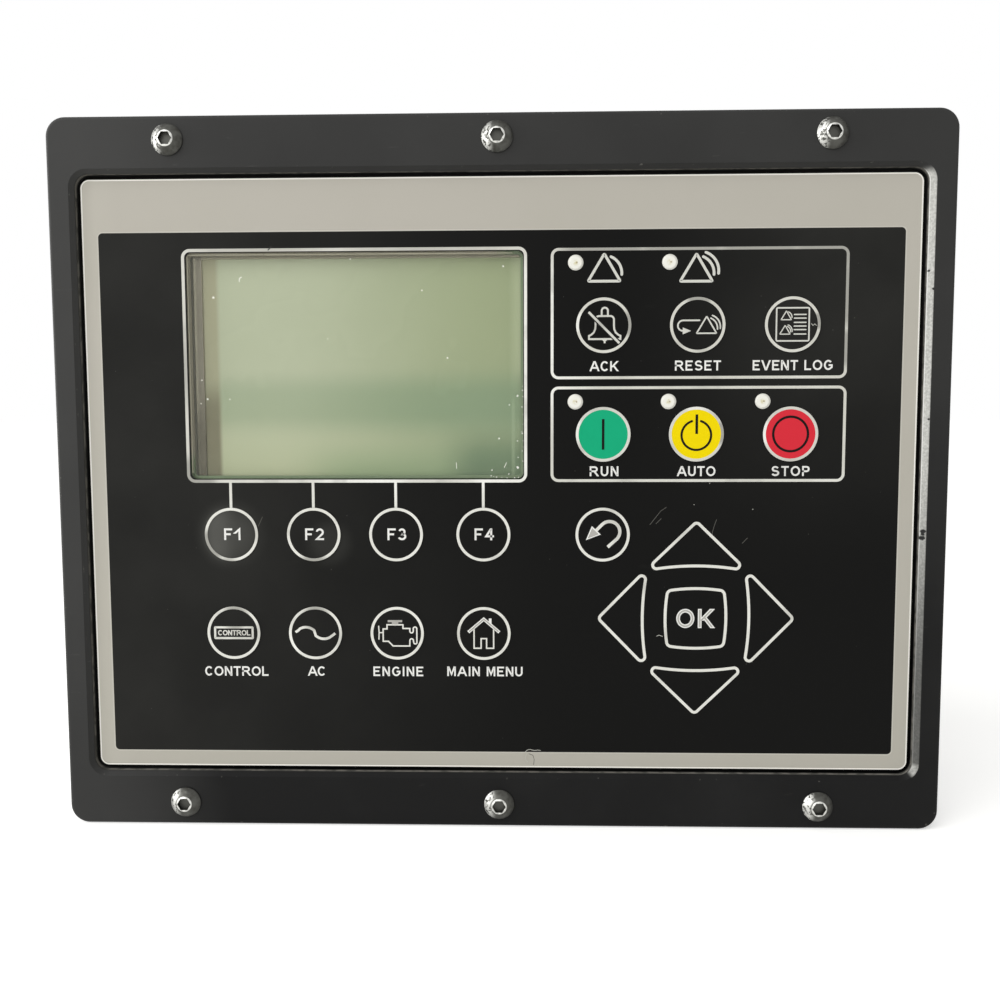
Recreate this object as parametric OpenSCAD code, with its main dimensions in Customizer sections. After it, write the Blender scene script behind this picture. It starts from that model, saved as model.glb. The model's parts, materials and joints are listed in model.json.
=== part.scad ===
// Panel-mounted engine and generator-set control module.
// The front faces -Y, +Z is up, and the origin is the centre of the six fixing screws
// on the rear seat of the flange, where the module meets the panel.
// All sizes are in millimetres.

/* [Front panel] */
// Width of the black front frame
panel_w = 304; // [301:1:308]
// Height of the black front frame
panel_h = 244; // [242:1:248]
// Outer corner radius of the frame
panel_r = 6.5; // [5:0.5:9]
// Width of the frame's upright bars
side_bar = 7.3; // [6.8:0.1:8.2]
// Width of the frame's top and bottom bars
end_bar = 17.2; // [16.6:0.1:18]
// Thickness of the frame
bezel_t = 6; // [5.6:0.1:7]
// Radius of the frame's outer front edge
bezel_edge = 1.2; // [0.6:0.1:1.8]
// Width of the sloped lip round the opening
lip_w = 1.5; // [1:0.1:2.2]
// Dark gap between the lip and the raised land
land_gap = 1.7; // [1.2:0.1:2]
// Depth of the overlay below the front of the frame
recess_d = 2.6; // [2.2:0.1:3]

/* [Fixing screws] */
// Distance between the outer screws across the panel
screw_pitch_x = 221; // [214:1:226]
// Distance between the top and bottom rows of screws
screw_pitch_z = 228; // [226:1:230]
// Thread diameter of the fixing screws
screw_d = 6; // [5:1:6]
// Length of a fixing screw under its head
screw_l = 25; // [22:1:35]
// Diameter of a button head
head_d = 10.5; // [9.5:0.5:11]
// Height of a button head
head_h = 3.3; // [2.8:0.1:3.6]
// Width across flats of the hexagon socket
socket_af = 4; // [3:0.5:4]

/* [Overlay] */
// Thickness of the printed film
film_t = 0.4; // [0.3:0.05:0.5]
// Corner radius of the film
film_r = 3; // [2:0.5:5]
// Height of the embossed key areas, which is also the travel of a key
emboss = 0.35; // [0.25:0.05:0.45]
// Width of the land's border beyond the film's edge
film_inset = 0.2; // [0.1:0.05:0.4]

/* [Display] */
// Width of the clear window in the film
window_w = 114.9; // [110:0.5:117]
// Height of the clear window in the film
window_h = 76.9; // [72:0.5:78]
// Distance of the window's left edge to the left of the module's centre
window_left = 106.3; // [104:0.1:107]
// Height of the window's top edge above the module's centre
window_top = 77; // [75:0.1:78]
// Thickness of the clear pane behind the film
pane_t = 1.5; // [1:0.1:1.8]
// How far the pane reaches under the film on each side
pane_seat = 2.2; // [1.8:0.1:3]
// Thickness of the liquid-crystal cell
lcd_t = 2.8; // [2:0.1:3.5]
// Width of the cell that the display frame leaves open
lcd_view_w = 114.7; // [108:0.5:116]
// Height of the cell that the display frame leaves open
lcd_view_h = 78.7; // [74:0.5:79]
// Shift of the cell to the right of the window's centre
lcd_shift = 4.4; // [3.5:0.1:5]
// Shift of the cell below the window's centre
lcd_drop = 2.7; // [2:0.1:3]
// Thickness of the light guide behind the cell
backlight_t = 3.4; // [2.5:0.1:4.5]

/* [Keys] */
// Outer diameter of a round key area
key_d = 18.4; // [17:0.2:19]
// Left group: distances of the columns to the left of the module's centre
soft_cols = [92.7, 64, 35.4, 5.2]; // [4:0.1:95]
// Right group: distances of the columns to the right of the module's centre
mode_cols = [35.8, 67.4, 99.2]; // [35:0.1:101]
// Heights of the rows above the module's centre
key_rows = [51.9, 15.1, -19.3, -53.9]; // [-55:0.1:53]
// Distance of the arrow cluster's centre to the right of the first right column
nav_right = 32.1; // [31:0.1:33]
// Distance of the arrow cluster's centre below the top row
nav_top = 100.3; // [99:0.1:102]
// Distance from the cluster centre to the tip of an arrow
arrow_tip = 34.3; // [32:0.1:34.5]
// Distance from the cluster centre to the base corners of an arrow
arrow_base = 16.8; // [16.6:0.1:18]
// Length of an arrow's base
arrow_w = 30.7; // [28:0.1:31]
// Corner radius of an arrow
arrow_r = 1.8; // [1.6:0.1:2]
// Radius of the hollow base of an arrow
arrow_arc = 90; // [70:5:120]
// Width of the middle key between its corners
ok_w = 20.7; // [18:0.1:21]
// Corner radius of the middle key
ok_r = 2.2; // [1.8:0.1:2.6]
// Radius of the bulged sides of the middle key
ok_arc = 60; // [45:5:90]
// Gap between a key pad and its hole
key_gap = 0.25; // [0.2:0.05:0.4]
// Width of the stop flange behind a key pad
key_flange = 0.8; // [0.6:0.1:1]

/* [Indicator lights] */
// Diameter of an indicator window
lamp_d = 5.3; // [4.5:0.1:5.6]
// Distance of a lamp to the left of its key
lamp_left = 9.5; // [9:0.1:10]
// Distance of an alarm lamp above its key
alarm_lamp_up = 21; // [19:0.5:22]
// Distance of a mode lamp above its key
mode_lamp_up = 11.1; // [11:0.1:12]

/* [Housing] */
// Thickness of the housing's flange
flange_t = 5; // [4:0.5:6]
// How far the flange stays inside the frame's edge
flange_inset = 0.5; // [0:0.1:1.5]
// Thickness of the front wall behind the film
wall_t = 2.5; // [2.5:0.1:3]
// Width of the box behind the flange
box_w = 268; // [264:1:270]
// Height of the box behind the flange
box_h = 196; // [194:1:200]
// Corner radius of the box
box_r = 8; // [6:1:12]
// Wall of the box
box_wall = 3; // [2.5:0.5:3.5]
// Depth of the collar behind the seat
collar_d = 10; // [9:0.5:14]

/* [Rear cover] */
// Thickness of the rubber gasket
gasket_t = 1; // [0.8:0.1:1.5]
// Width of the cover's screw lip
cover_lip = 9; // [9:0.5:10]
// Thickness of the screw lip
lip_t = 4; // [3:0.5:5]
// Depth of the cover behind the lip
cover_d = 35; // [34:1:40]
// Wall of the cover
cover_wall = 3; // [2.5:0.5:4]
// Draft of the cover's sides over its depth
cover_draft = 2; // [1:0.5:3]
// Radius of the cover's rear edges
cover_edge = 3; // [2:0.5:4]
// Height of the cooling fins
fin_h = 8; // [5:1:12]
// Thickness of a cooling fin
fin_t = 2.2; // [1.6:0.2:3]
// Distance between neighbouring fins
fin_pitch = 9; // [8:1:12]
// Number of fins
fin_count = 22; // [12:2:22]

/* [Harness connectors] */
// Pitch of the contact pins
pin_pitch = 4; // [3.6:0.1:4]
// Diameter of a contact pin
pin_d = 1.3; // [1:0.1:1.5]
// Height of a connector shroud above its flange
shroud_h = 13; // [12:1:16]
// Wall of a connector shroud
shroud_wall = 2.2; // [1.8:0.2:2.6]
// Height of the cavity in a shroud
shroud_inner_h = 31.6; // [30:0.2:33]
// Distance of the connectors below the module's centre
header_drop = 48; // [46:1:50]
// Thread core diameter of the jackscrew inserts
jack_d = 5; // [4:0.5:5]

/* [Hidden] */
$fn = 48;
eps = 0.5;
arc_lap = 0.02;

// Depths along Y, front to back
face_y = -flange_t;
bezel_y = face_y - bezel_t;
film_y = bezel_y + recess_d;
land_y = film_y + film_t;
inner_y = land_y + wall_t;
collar_y = collar_d;
cover_y = collar_y + gasket_t;
lip_y = cover_y + lip_t;
rear_y = lip_y + cover_d;
rear_inner_y = rear_y - cover_wall;

// Outlines of the front
open_w = panel_w - 2 * side_bar;
open_h = panel_h - 2 * end_bar;
film_w = open_w - 2 * (lip_w + land_gap);
film_h = open_h - 2 * (lip_w + land_gap);
land_w = film_w + 2 * film_inset;
land_h = film_h + 2 * film_inset;
cavity_w = box_w - 2 * box_wall;
cavity_h = box_h - 2 * box_wall;
cavity_r = box_r - box_wall;
land_root = 1.5;

// Places on the film, from the module's centre
window_x = window_w / 2 - window_left;
window_z = window_top - window_h / 2;
pane_w = window_w + 2 * pane_seat;
pane_h = window_h + 2 * pane_seat;
function row_z(k) = key_rows[k];
function soft_x(k) = -soft_cols[k];
function mode_x(k) = mode_cols[k];
nav_x = mode_x(0) + nav_right;
nav_z = row_z(0) - nav_top;
round_keys = [
    [mode_x(0), row_z(0)], [mode_x(1), row_z(0)], [mode_x(2), row_z(0)],
    [mode_x(0), row_z(1)], [mode_x(1), row_z(1)], [mode_x(2), row_z(1)],
    [soft_x(0), row_z(2)], [soft_x(1), row_z(2)], [soft_x(2), row_z(2)], [soft_x(3), row_z(2)],
    [soft_x(0), row_z(3)], [soft_x(1), row_z(3)], [soft_x(2), row_z(3)], [soft_x(3), row_z(3)],
    [mode_x(0), row_z(2)]];
lamps = concat(
    [for (k = [0:1]) [mode_x(k) - lamp_left, row_z(0) + alarm_lamp_up]],
    [for (k = [0:2]) [mode_x(k) - lamp_left, row_z(1) + mode_lamp_up]]);

// Keys and switches
stem_d = 3.4;
stem_l = 1.2;
switch_w = 6;
switch_h = 3.1;
switch_neck = 0.6;
switch_top_r = 2.6;
bore_gap = 0.1;
stop_gap = 0.1;
travel_gap = 0.2;
key_flange_t = 0.8;
arrow_flange_share = 0.72;
pad_rear_y = inner_y + stop_gap + key_flange_t;
switch_y = pad_rear_y + emboss + travel_gap;
stem_y = pad_rear_y + stem_l;
board_t = 1.6;
key_board_y = switch_y + switch_h;
key_board_rear_y = key_board_y + board_t;
arrow_stem = (arrow_base + arrow_tip) / 2 - arrow_r;

// Display stack
window_r = 2;
window_step = 0.9;
pane_gap = 0.2;
pane_r = 2.8;
foam_t = 0.8;
foam_step = 3;
sheet_t = 0.5;
frame_r = 0.8;
cell_gap = 0.2;
guide_gap = 0.3;
ledge = 3;
guide_thin = 1.2;
guide_full = 0.4;
lcd_y = inner_y + foam_t;
cell_y = lcd_y + sheet_t;
light_y = cell_y + lcd_t;
lcd_board_y = light_y + backlight_t;
lcd_board_rear_y = lcd_board_y + board_t;
lcd_x = window_x + lcd_shift;
lcd_z = window_z - lcd_drop;
lcd_side = 6.5;
lcd_end = 5.5;
lcd_w = lcd_view_w + 2 * lcd_side;
lcd_h = lcd_view_h + 2 * lcd_end;
lcd_board_end = 6;
lcd_boss_z = lcd_h / 2 + 3;
lcd_boss_r = 2.8;
lcd_boss_xs = [soft_x(0) + soft_x(1), soft_x(2) + soft_x(3)] / 2;
lcd_fix = [for (x = lcd_boss_xs, z = [-1, 1]) [x, lcd_z + z * lcd_boss_z]];
cut_gap = 1;

// Lamps and light pipes
led_h = 1.2;
led_r = 1.3;
led_foot = [3.5, 2.8];
led_foot_h = 0.5;
pipe_gap = 0.05;
pipe_step = 0.8;
pipe_step_t = 1;
lamp_y = key_board_y - led_h;

// Key board, inside the ring of cover-screw bosses
board_gap = 1.5;
board_r = 3;
board_corner = 5;
nav_boss = 48;
key_board_w = box_w - 2 * (cover_lip + board_gap);
key_board_h = box_h - 2 * (cover_lip + board_gap);
key_board_fix = concat(
    [for (x = [-1, 1], z = [-1, 1])
        [x * (key_board_w / 2 - board_corner), z * (key_board_h / 2 - board_corner)]],
    [[nav_x - nav_boss, board_corner - key_board_h / 2], [key_board_w / 2 - board_corner, 0]]);

// Rear cover and main board
body_w = box_w - 2 * cover_lip;
body_h = box_h - 2 * cover_lip;
body_r = box_r + 2;
gasket_step = 1;
cover_hole_gap = 0.3;
cover_inner_edge = 1.5;
standoff = 15;
main_t = 2;
main_r = 4;
main_corner = 6;
main_rear_y = rear_inner_y - standoff;
main_y = main_rear_y - main_t;
main_w = body_w - 2 * (cover_wall + cover_draft + board_gap);
main_h = body_h - 2 * (cover_wall + cover_draft + board_gap);
main_fix = [for (x = [-1, -1 / 3, 1 / 3, 1], z = [-1, 1])
    [x * (main_w / 2 - main_corner), z * (main_h / 2 - main_corner)]];
cover_screw_d = 4;
cover_screw_l = 12;
cover_head_d = 7.5;
cover_head_h = 2.6;
cover_socket = 2.5;
cover_fix_x = box_w / 2 - cover_lip / 2;
cover_fix_z = box_h / 2 - cover_lip / 2;
cover_fix = concat(
    [for (x = [-1, -1 / 3, 1 / 3, 1], z = [-1, 1]) [x * cover_fix_x, z * cover_fix_z]],
    [for (x = [-1, 1], z = [-1 / 3, 1 / 3]) [x * cover_fix_x, z * cover_fix_z]]);
fin_margin = 10;
fin_top = body_h / 2 - fin_margin;
fin_low = 6;
fin_slope = 0.7;

// Board screws and their bosses
m3_d = 3;
m3_hole_d = 3.4;
m3_head_d = 5.6;
m3_head_h = 2.2;
m3_l = 5.6;
m3_socket = 2;
boss_r = 3.2;
main_boss_r = 4;
boss_floor = 1;
hole_end = 0.4;

// Connectors: columns, rows and centre of the large and the small one
seal_t = 0.8;
header_flange_t = 3;
header_flange_w = 6;
header_fix_in = 4;
block_gap = 0.3;
block_proud = 1;
pin_proud = 6.7;
jack_r = 4.2;
jack_depth = 14;
jack_l = 15.7;
flange_y = rear_y + seal_t;
shroud_y = flange_y + header_flange_t;
block_y = shroud_y + block_proud;
pin_y = shroud_y + pin_proud;
mouth_y = shroud_y + shroud_h;
large_cols = 10;
large_rows = 6;
large_x = -48;
small_cols = 5;
small_rows = 7;
small_side = 63;
small_x = body_w / 2 - small_side;
header_z = -header_drop;
bank_gap = 4 * pin_pitch;
end_gap = 5.8;
function bank_w(cols) = (cols - 1) * pin_pitch;
function cavity_in(cols) = 2 * bank_w(cols) + bank_gap + 2 * end_gap;
function shroud_w(cols) = cavity_in(cols) + 2 * shroud_wall;
shroud_out_h = shroud_inner_h + 2 * shroud_wall;
function flange_corners(cols) = [for (a = [-1, 1], b = [-1, 1])
    [a * (shroud_w(cols) / 2 + header_flange_w - header_fix_in),
    b * (shroud_out_h / 2 + header_flange_w - header_fix_in)]];
header_fix = concat(
    [for (p = flange_corners(large_cols)) p + [large_x, header_z]],
    [for (p = flange_corners(small_cols)) p + [small_x, header_z]]);
shell_r = 4;
rib_size = [2, 2.4];
rib_short = 2;
large_ribs = [-36, -30, -12, 24, 36];
small_ribs = [-20, 0, 6, 20];
seal_in = 1;
seal_step = 1.5;
seal_hole_gap = 0.2;
header_screw_l = 9;
header_boss_y = rear_inner_y - 4;
mouth_gaps = [0.4, 0.4];

// Ribbon cables and their sockets
socket_w = 34;
socket_t = 6;
socket_h = 7;
ribbon_w = 30;
ribbon_t = 0.9;
ribbon_n = 12;
ribbon_step = 5;
socket_drop = 10;
socket_up = 15;
ribbon_lcd_z = lcd_z - socket_drop;
ribbon_key_x = nav_x - socket_drop;
ribbon_key_z = socket_up - key_board_h / 2;

// Components on the front face of the main board: places, sizes and heights
chip_place = [-20, 8];
chip_w = 29;
chip_h = 2.6;
memory_place = [8, 20];
memory_pitch = 14;
memory_count = 3;
memory_size = [18, 10];
memory_h = 1.4;
driver_place = [-90, -18];
driver_pitch = 17;
driver_count = 5;
driver_size = [10, 7];
driver_h = 1.8;
relay_top = 20.5;
relay_place = [34, main_h / 2 - relay_top];
relay_pitch = 21;
relay_count = 4;
relay_r = 1;
relay_w = 16;
relay_l = 20;
relay_h = 15.5;
capacitor_place = [96, 30];
capacitor_pitch = 17;
capacitor_count = 3;
groove_out = 0.6;
groove_r = 1;
capacitor_r = 6.3;
capacitor_h = 15;
capacitor_neck = 3;
inductor_place = [68, 30];
inductor_pitch = 20;
inductor_count = 2;
inductor_w = 15;
inductor_r = 7;
inductor_h = 8;
inductor_foot = 2;

// Back-up cell of the clock
cell_r = 10;
cell_t = 3.2;
cell_place = [-90, 0, 52];
cell_floor = 1;
cell_cap_in = 1.6;
cell_cap_h = 0.8;
holder_wall = 1.8;
holder_rim = 0.6;

// Ground stud on the rear cover
stud_side = 15;
stud_low = 14;
stud_x = body_w / 2 - stud_side;
stud_z = stud_low - body_h / 2;
stud_r = 3;
stud_base_r = 3.5;
stud_base_y = rear_inner_y - 4;
stud_hex_r = 5.8;
stud_boss_r = 8;
stud_boss_h = 2;
stud_hex_h = 2.4;
stud_free = 14;
stud_tip = 0.5;

// Fixing screws: six places
screw_xs = [-1, 0, 1] * screw_pitch_x / 2;
screw_zs = [-1, 1] * screw_pitch_z / 2;
screw_gap = 0.2;
thread_gap = 0.05;
neck_in = 0.325;
crown_share = 0.85;
socket_floor = 0.35;
socket_lead = 0.45;
lead_share = 1.45;

// Extrudes an outline drawn in X and Z from one depth to a deeper one
module span(front, rear) {
    translate([0, rear, 0]) rotate([90, 0, 0]) linear_extrude(rear - front) children();
}

// Turns a solid built up along its own Z so that it rises towards the front
module rise_front(rear) {
    translate([0, rear, 0]) rotate([90, 0, 0]) children();
}

// Turns a solid built up along its own Z so that it rises towards the back
module rise_back(front) {
    translate([0, front, 0]) rotate([90, 0, 0]) mirror([0, 0, 1]) children();
}

// Places a child at each point of a list on the panel
module at_each(points) {
    for (p = points) translate([p[0], 0, p[1]]) children();
}

// Draws an outline at each point of a list
module dots(points) {
    for (p = points) translate(p) children();
}

// Rectangle with round corners, centred
module rounded(w, h, r) {
    square([w - 2 * r, h], center = true);
    square([w, h - 2 * r], center = true);
    for (x = [-1, 1], y = [-1, 1]) translate([x * (w / 2 - r), y * (h / 2 - r)]) circle(r);
}

// Block with round corners whose side has the profile given as a child:
// the profile's x runs outwards from the corner centres and its y along the height
module swept_block(w, h, r, t) {
    translate([r - w / 2, r - h / 2, 0]) cube([w - 2 * r, h - 2 * r, t]);
    for (k = [0:3]) {
        across = k % 2 == 0 ? w : h;
        along = k % 2 == 0 ? h : w;
        rotate([0, 0, 90 * k]) translate([across / 2 - r, along / 2 - r, 0]) {
            rotate([90, 0, 0]) linear_extrude(along - 2 * r) children();
            rotate_extrude(angle = 90) children();
        }
    }
}

// Side profile with a rounded top edge and an optional draft
module edge_profile(r, t, e, draft = 0) {
    polygon([[0, 0], [r, 0], [r - draft, t - e], [0, t - e]]);
    square([r - draft - e, t]);
    translate([r - draft - e, t - e]) circle(e);
}

// Point on a circle of radius r round c, towards the direction d
function towards(c, d, r) = c + r * d / norm(d);

// Outline of an arrow key that points up, smaller by an inset all round
module arrow_outline(inset) {
    r = arrow_r - inset;
    side = r - arc_lap;
    half = arrow_w / 2 - arrow_r;
    tip = [0, arrow_tip - arrow_r * sqrt(2)];
    left = [-half, arrow_base + arrow_r];
    right = [half, arrow_base + arrow_r];
    slope = tip - right;
    out = [slope[1], -slope[0]];
    out_left = [-out[0], out[1]];
    hollow = [0, left[1] - sqrt(pow(arrow_arc + arrow_r, 2) - pow(half, 2))];
    difference() {
        union() {
            polygon([towards(tip, out_left, side), towards(tip, out, side),
                towards(right, out, side), towards(right, hollow - right, side),
                towards(left, hollow - left, side), towards(left, out_left, side)]);
            dots([tip, left, right]) circle(r);
        }
        translate(hollow) circle(arrow_arc + inset + arc_lap, $fn = 180);
    }
}

// Outline of the middle key with bulged sides, smaller by an inset all round
module ok_outline(inset) {
    r = ok_r - inset;
    half = ok_w / 2 - ok_r;
    centre = [0, half - sqrt(pow(ok_arc - ok_r, 2) - pow(half, 2))];
    touch = towards([half, half], [half, half] - centre, r);
    for (k = [0:3]) rotate(90 * k) {
        intersection() {
            translate([-touch[0], 0]) square([2 * touch[0], ok_w]);
            translate(centre) circle(ok_arc - inset - arc_lap, $fn = 180);
        }
        translate([half, half]) circle(r);
    }
}

// Outline of every key area at its place, smaller by an inset
module key_outlines(inset) {
    dots(round_keys) circle(key_d / 2 - inset);
    translate([nav_x, nav_z]) {
        for (k = [0:3]) rotate(90 * k) arrow_outline(inset);
        ok_outline(inset);
    }
}

// Front frame with its sloped lip round the opening
module bezel_frame() {
    floor_w = open_w - 2 * lip_w;
    floor_h = open_h - 2 * lip_w;
    floor_r = film_r + land_gap;
    cut_t = bezel_t + 2 * eps;
    slope_z = bezel_t - lip_w + eps;
    color("#1d1e1f") difference() {
        rise_front(face_y) swept_block(panel_w, panel_h, panel_r, bezel_t)
            edge_profile(panel_r, bezel_t, bezel_edge);
        rise_front(face_y + eps) swept_block(floor_w, floor_h, floor_r, cut_t)
            polygon([[0, 0], [floor_r, 0], [floor_r, slope_z],
                [floor_r + lip_w + eps, cut_t], [0, cut_t]]);
        at_each([for (x = screw_xs, z = screw_zs) [x, z]])
            span(bezel_y - eps, face_y + eps) circle(screw_d / 2 + screw_gap);
    }
}

// Hollow of the housing, which leaves a wall inside the raised land and inside the box
module front_hollow() {
    span(inner_y, face_y + land_root) intersection() {
        rounded(cavity_w, cavity_h, cavity_r);
        rounded(land_w - 2 * box_wall, land_h - 2 * box_wall, film_r);
    }
    span(face_y + land_root - eps, collar_y + eps) rounded(cavity_w, cavity_h, cavity_r);
}

// Bosses inside the front casting, each with the depth of its end
module front_bosses() {
    span(inner_y - eps, key_board_y) dots(key_board_fix) circle(boss_r);
    span(inner_y - eps, lcd_board_y) dots(lcd_fix) circle(lcd_boss_r);
    intersection() {
        span(inner_y - eps, collar_y) dots(cover_fix) circle(cover_lip / 2);
        union() {
            span(inner_y - 2 * eps, face_y + eps) rounded(land_w, land_h, film_r + film_inset);
            span(face_y, collar_y) rounded(box_w, box_h, box_r);
        }
    }
}

// Cast front housing: flange, raised land, collar and inner bosses
module front_housing() {
    color("#2a2b2c") difference() {
        union() {
            difference() {
                union() {
                    span(face_y, 0) rounded(panel_w - 2 * flange_inset,
                        panel_h - 2 * flange_inset, panel_r - flange_inset);
                    span(land_y, face_y + eps) rounded(land_w, land_h, film_r + film_inset);
                    span(-eps, collar_y) rounded(box_w, box_h, box_r);
                }
                front_hollow();
            }
            front_bosses();
        }
        span(land_y - eps, inner_y + eps) {
            key_outlines(film_t);
            dots(lamps) circle(lamp_d / 2 + bore_gap);
            translate([window_x, window_z])
                rounded(window_w - 2 * window_step, window_h - 2 * window_step, window_r - window_step);
        }
        span(land_y - eps, land_y + pane_t + bore_gap) translate([window_x, window_z])
            rounded(pane_w + 2 * pane_gap, pane_h + 2 * pane_gap, pane_r + pane_gap);
        at_each([for (x = screw_xs, z = screw_zs) [x, z]])
            span(face_y - eps, eps) circle(screw_d / 2 + thread_gap);
        span(lip_y - cover_screw_l - hole_end, collar_y + eps) dots(cover_fix)
            circle(cover_screw_d / 2 + thread_gap);
        span(key_board_rear_y - m3_l - hole_end, key_board_y + eps) dots(key_board_fix)
            circle(m3_d / 2 + thread_gap);
        span(lcd_board_rear_y - m3_l - hole_end, lcd_board_y + eps) dots(lcd_fix)
            circle(m3_d / 2 + thread_gap);
    }
}

// Printed film with an embossed area over every key
module overlay() {
    color("#b4b1a8") difference() {
        union() {
            span(film_y, land_y) rounded(film_w, film_h, film_r);
            span(film_y - emboss, land_y - film_t / 2) key_outlines(0);
        }
        span(land_y - emboss, land_y + eps) key_outlines(film_t);
        span(film_y - eps, land_y + eps) {
            translate([window_x, window_z]) rounded(window_w, window_h, window_r);
            dots(lamps) circle(lamp_d / 2);
        }
    }
}

// Clear pane in the rebate behind the film
module display_pane() {
    color("#dfe8dc", 0.35) span(land_y, land_y + pane_t) translate([window_x, window_z])
        rounded(pane_w, pane_h, pane_r);
}

// Foam gasket between the front wall and the display frame
module display_gasket() {
    color("#18181a") span(inner_y, lcd_y) translate([lcd_x, lcd_z]) difference() {
        rounded(lcd_w, lcd_h, frame_r);
        rounded(lcd_view_w + 2 * foam_step, lcd_view_h + 2 * foam_step, frame_r);
    }
}

// Folded steel frame that holds the display cell and its light guide
module lcd_frame() {
    color("#787569") translate([lcd_x, 0, lcd_z]) difference() {
        span(lcd_y, lcd_board_y) rounded(lcd_w, lcd_h, frame_r);
        span(cell_y, lcd_board_y + eps)
            square([lcd_w - 2 * sheet_t, lcd_h - 2 * sheet_t], center = true);
        span(lcd_y - eps, cell_y + eps) rounded(lcd_view_w, lcd_view_h, frame_r);
    }
}

// Glass cell of the display, two plates with a contact ledge along the bottom
module lcd_cell() {
    w = lcd_w - 2 * (sheet_t + cell_gap);
    h = lcd_h - 2 * (sheet_t + cell_gap);
    color("#b2bc9c") translate([lcd_x, 0, lcd_z]) {
        span(cell_y, cell_y + lcd_t / 2)
            translate([-w / 2, ledge - h / 2]) square([w, h - ledge]);
        span(cell_y + lcd_t / 2, light_y) square([w, h], center = true);
    }
}

// Light guide behind the cell, thinner towards the side away from its lamps
module backlight() {
    w = lcd_w - 2 * (sheet_t + guide_gap);
    h = lcd_h - 2 * (sheet_t + guide_gap);
    color("#e6e8e0") translate([lcd_x - w / 2, 0, lcd_z - h / 2]) linear_extrude(h)
        polygon([[0, light_y], [w, light_y], [w, lcd_board_y - guide_thin],
            [w * guide_full, lcd_board_y], [0, lcd_board_y]]);
}

// Circuit board that carries the display
module lcd_board() {
    color("#2f6b3e") span(lcd_board_y, lcd_board_rear_y) difference() {
        translate([lcd_x, lcd_z]) square([lcd_w, lcd_h + 2 * lcd_board_end], center = true);
        dots(lcd_fix) circle(m3_hole_d / 2);
    }
}

// Circuit board behind the keys, cut away round the display
module key_board() {
    cut_low = lcd_z - lcd_boss_z - lcd_boss_r - cut_gap;
    cut_high = lcd_z + lcd_boss_z + lcd_boss_r + cut_gap;
    color("#2f6b3e") span(key_board_y, key_board_rear_y) difference() {
        rounded(key_board_w, key_board_h, board_r);
        translate([lcd_x - lcd_w / 2 - cut_gap, cut_low])
            square([lcd_w + 2 * cut_gap, cut_high - cut_low]);
        dots(key_board_fix) circle(m3_hole_d / 2);
    }
}

// Centres of the switches behind all the keys
switch_points = concat(round_keys,
    [for (k = [0:3]) [nav_x - arrow_stem * sin(90 * k), nav_z + arrow_stem * cos(90 * k)]],
    [[nav_x, nav_z]]);

// Bodies of the push switches, open for the stem of each key
module key_switches() {
    color("#17181a") at_each(switch_points) difference() {
        union() {
            span(switch_y + switch_neck, key_board_y) square(switch_w, center = true);
            span(switch_y, switch_y + 2 * switch_neck) circle(switch_top_r);
        }
        span(switch_y - eps, stem_y + emboss + travel_gap) circle(stem_d / 2 + bore_gap);
    }
}

// Stem of a key, which reaches into its switch
module key_stem(x, z) {
    translate([x, 0, z]) span(pad_rear_y - key_flange_t / 2, stem_y) circle(stem_d / 2);
}

// Rigid pad under a round key area, with its stop flange
module round_key(k) {
    color("#3a3c3e") {
        translate([round_keys[k][0], 0, round_keys[k][1]]) {
            span(land_y - emboss, pad_rear_y) circle(key_d / 2 - film_t - key_gap);
            span(pad_rear_y - key_flange_t, pad_rear_y) circle(key_d / 2 - film_t + key_flange);
        }
        key_stem(round_keys[k][0], round_keys[k][1]);
    }
}

// Rigid pad under an arrow key, turned by quarter turns from up to left, down and right
module arrow_key(turn) {
    color("#3a3c3e") {
        translate([nav_x, 0, nav_z]) {
            span(land_y - emboss, pad_rear_y) rotate(90 * turn) arrow_outline(film_t + key_gap);
            span(pad_rear_y - key_flange_t, pad_rear_y) rotate(90 * turn)
                translate([0, arrow_base + key_flange])
                    square([arrow_w * arrow_flange_share, 2 * (arrow_r + key_flange)], center = true);
        }
        key_stem(nav_x - arrow_stem * sin(90 * turn), nav_z + arrow_stem * cos(90 * turn));
    }
}

// Rigid pad under the middle key
module middle_key() {
    color("#3a3c3e") {
        translate([nav_x, 0, nav_z]) {
            span(land_y - emboss, pad_rear_y) ok_outline(film_t + key_gap);
            span(pad_rear_y - key_flange_t, pad_rear_y) square(ok_w + 2 * key_flange, center = true);
        }
        key_stem(nav_x, nav_z);
    }
}

// Stepped light pipes between the lamps and the windows in the film
module light_pipes() {
    color("#f2f0e8", 0.8) at_each(lamps) {
        span(film_y, lamp_y) circle(lamp_d / 2 - pipe_gap);
        span(inner_y, inner_y + pipe_step_t) circle(lamp_d / 2 + pipe_step);
    }
}

// Lamps on the key board under the light pipes
module status_leds() {
    color("#d8c070") at_each(lamps) {
        span(lamp_y, key_board_y) circle(led_r);
        span(key_board_y - led_foot_h, key_board_y) square(led_foot, center = true);
    }
}

// Flat rubber gasket between the collar and the cover
module cover_gasket() {
    color("#101011") span(collar_y, cover_y) difference() {
        rounded(box_w, box_h, box_r);
        rounded(body_w - 2 * gasket_step, body_h - 2 * gasket_step, body_r - gasket_step);
        dots(cover_fix) circle(cover_screw_d / 2 + cover_hole_gap);
    }
}

// Vertical cooling fins over the upper half of the cover
module fins() {
    for (k = [0:fin_count - 1])
        translate([(k - (fin_count - 1) / 2) * fin_pitch - fin_t / 2, 0, 0])
        rotate([90, 0, 90]) linear_extrude(fin_t)
            polygon([[rear_y - eps, fin_low], [rear_y, fin_low],
                [rear_y + fin_h, fin_low + fin_h * fin_slope],
                [rear_y + fin_h, fin_top - fin_h * fin_slope],
                [rear_y, fin_top], [rear_y - eps, fin_top]]);
}

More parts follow.
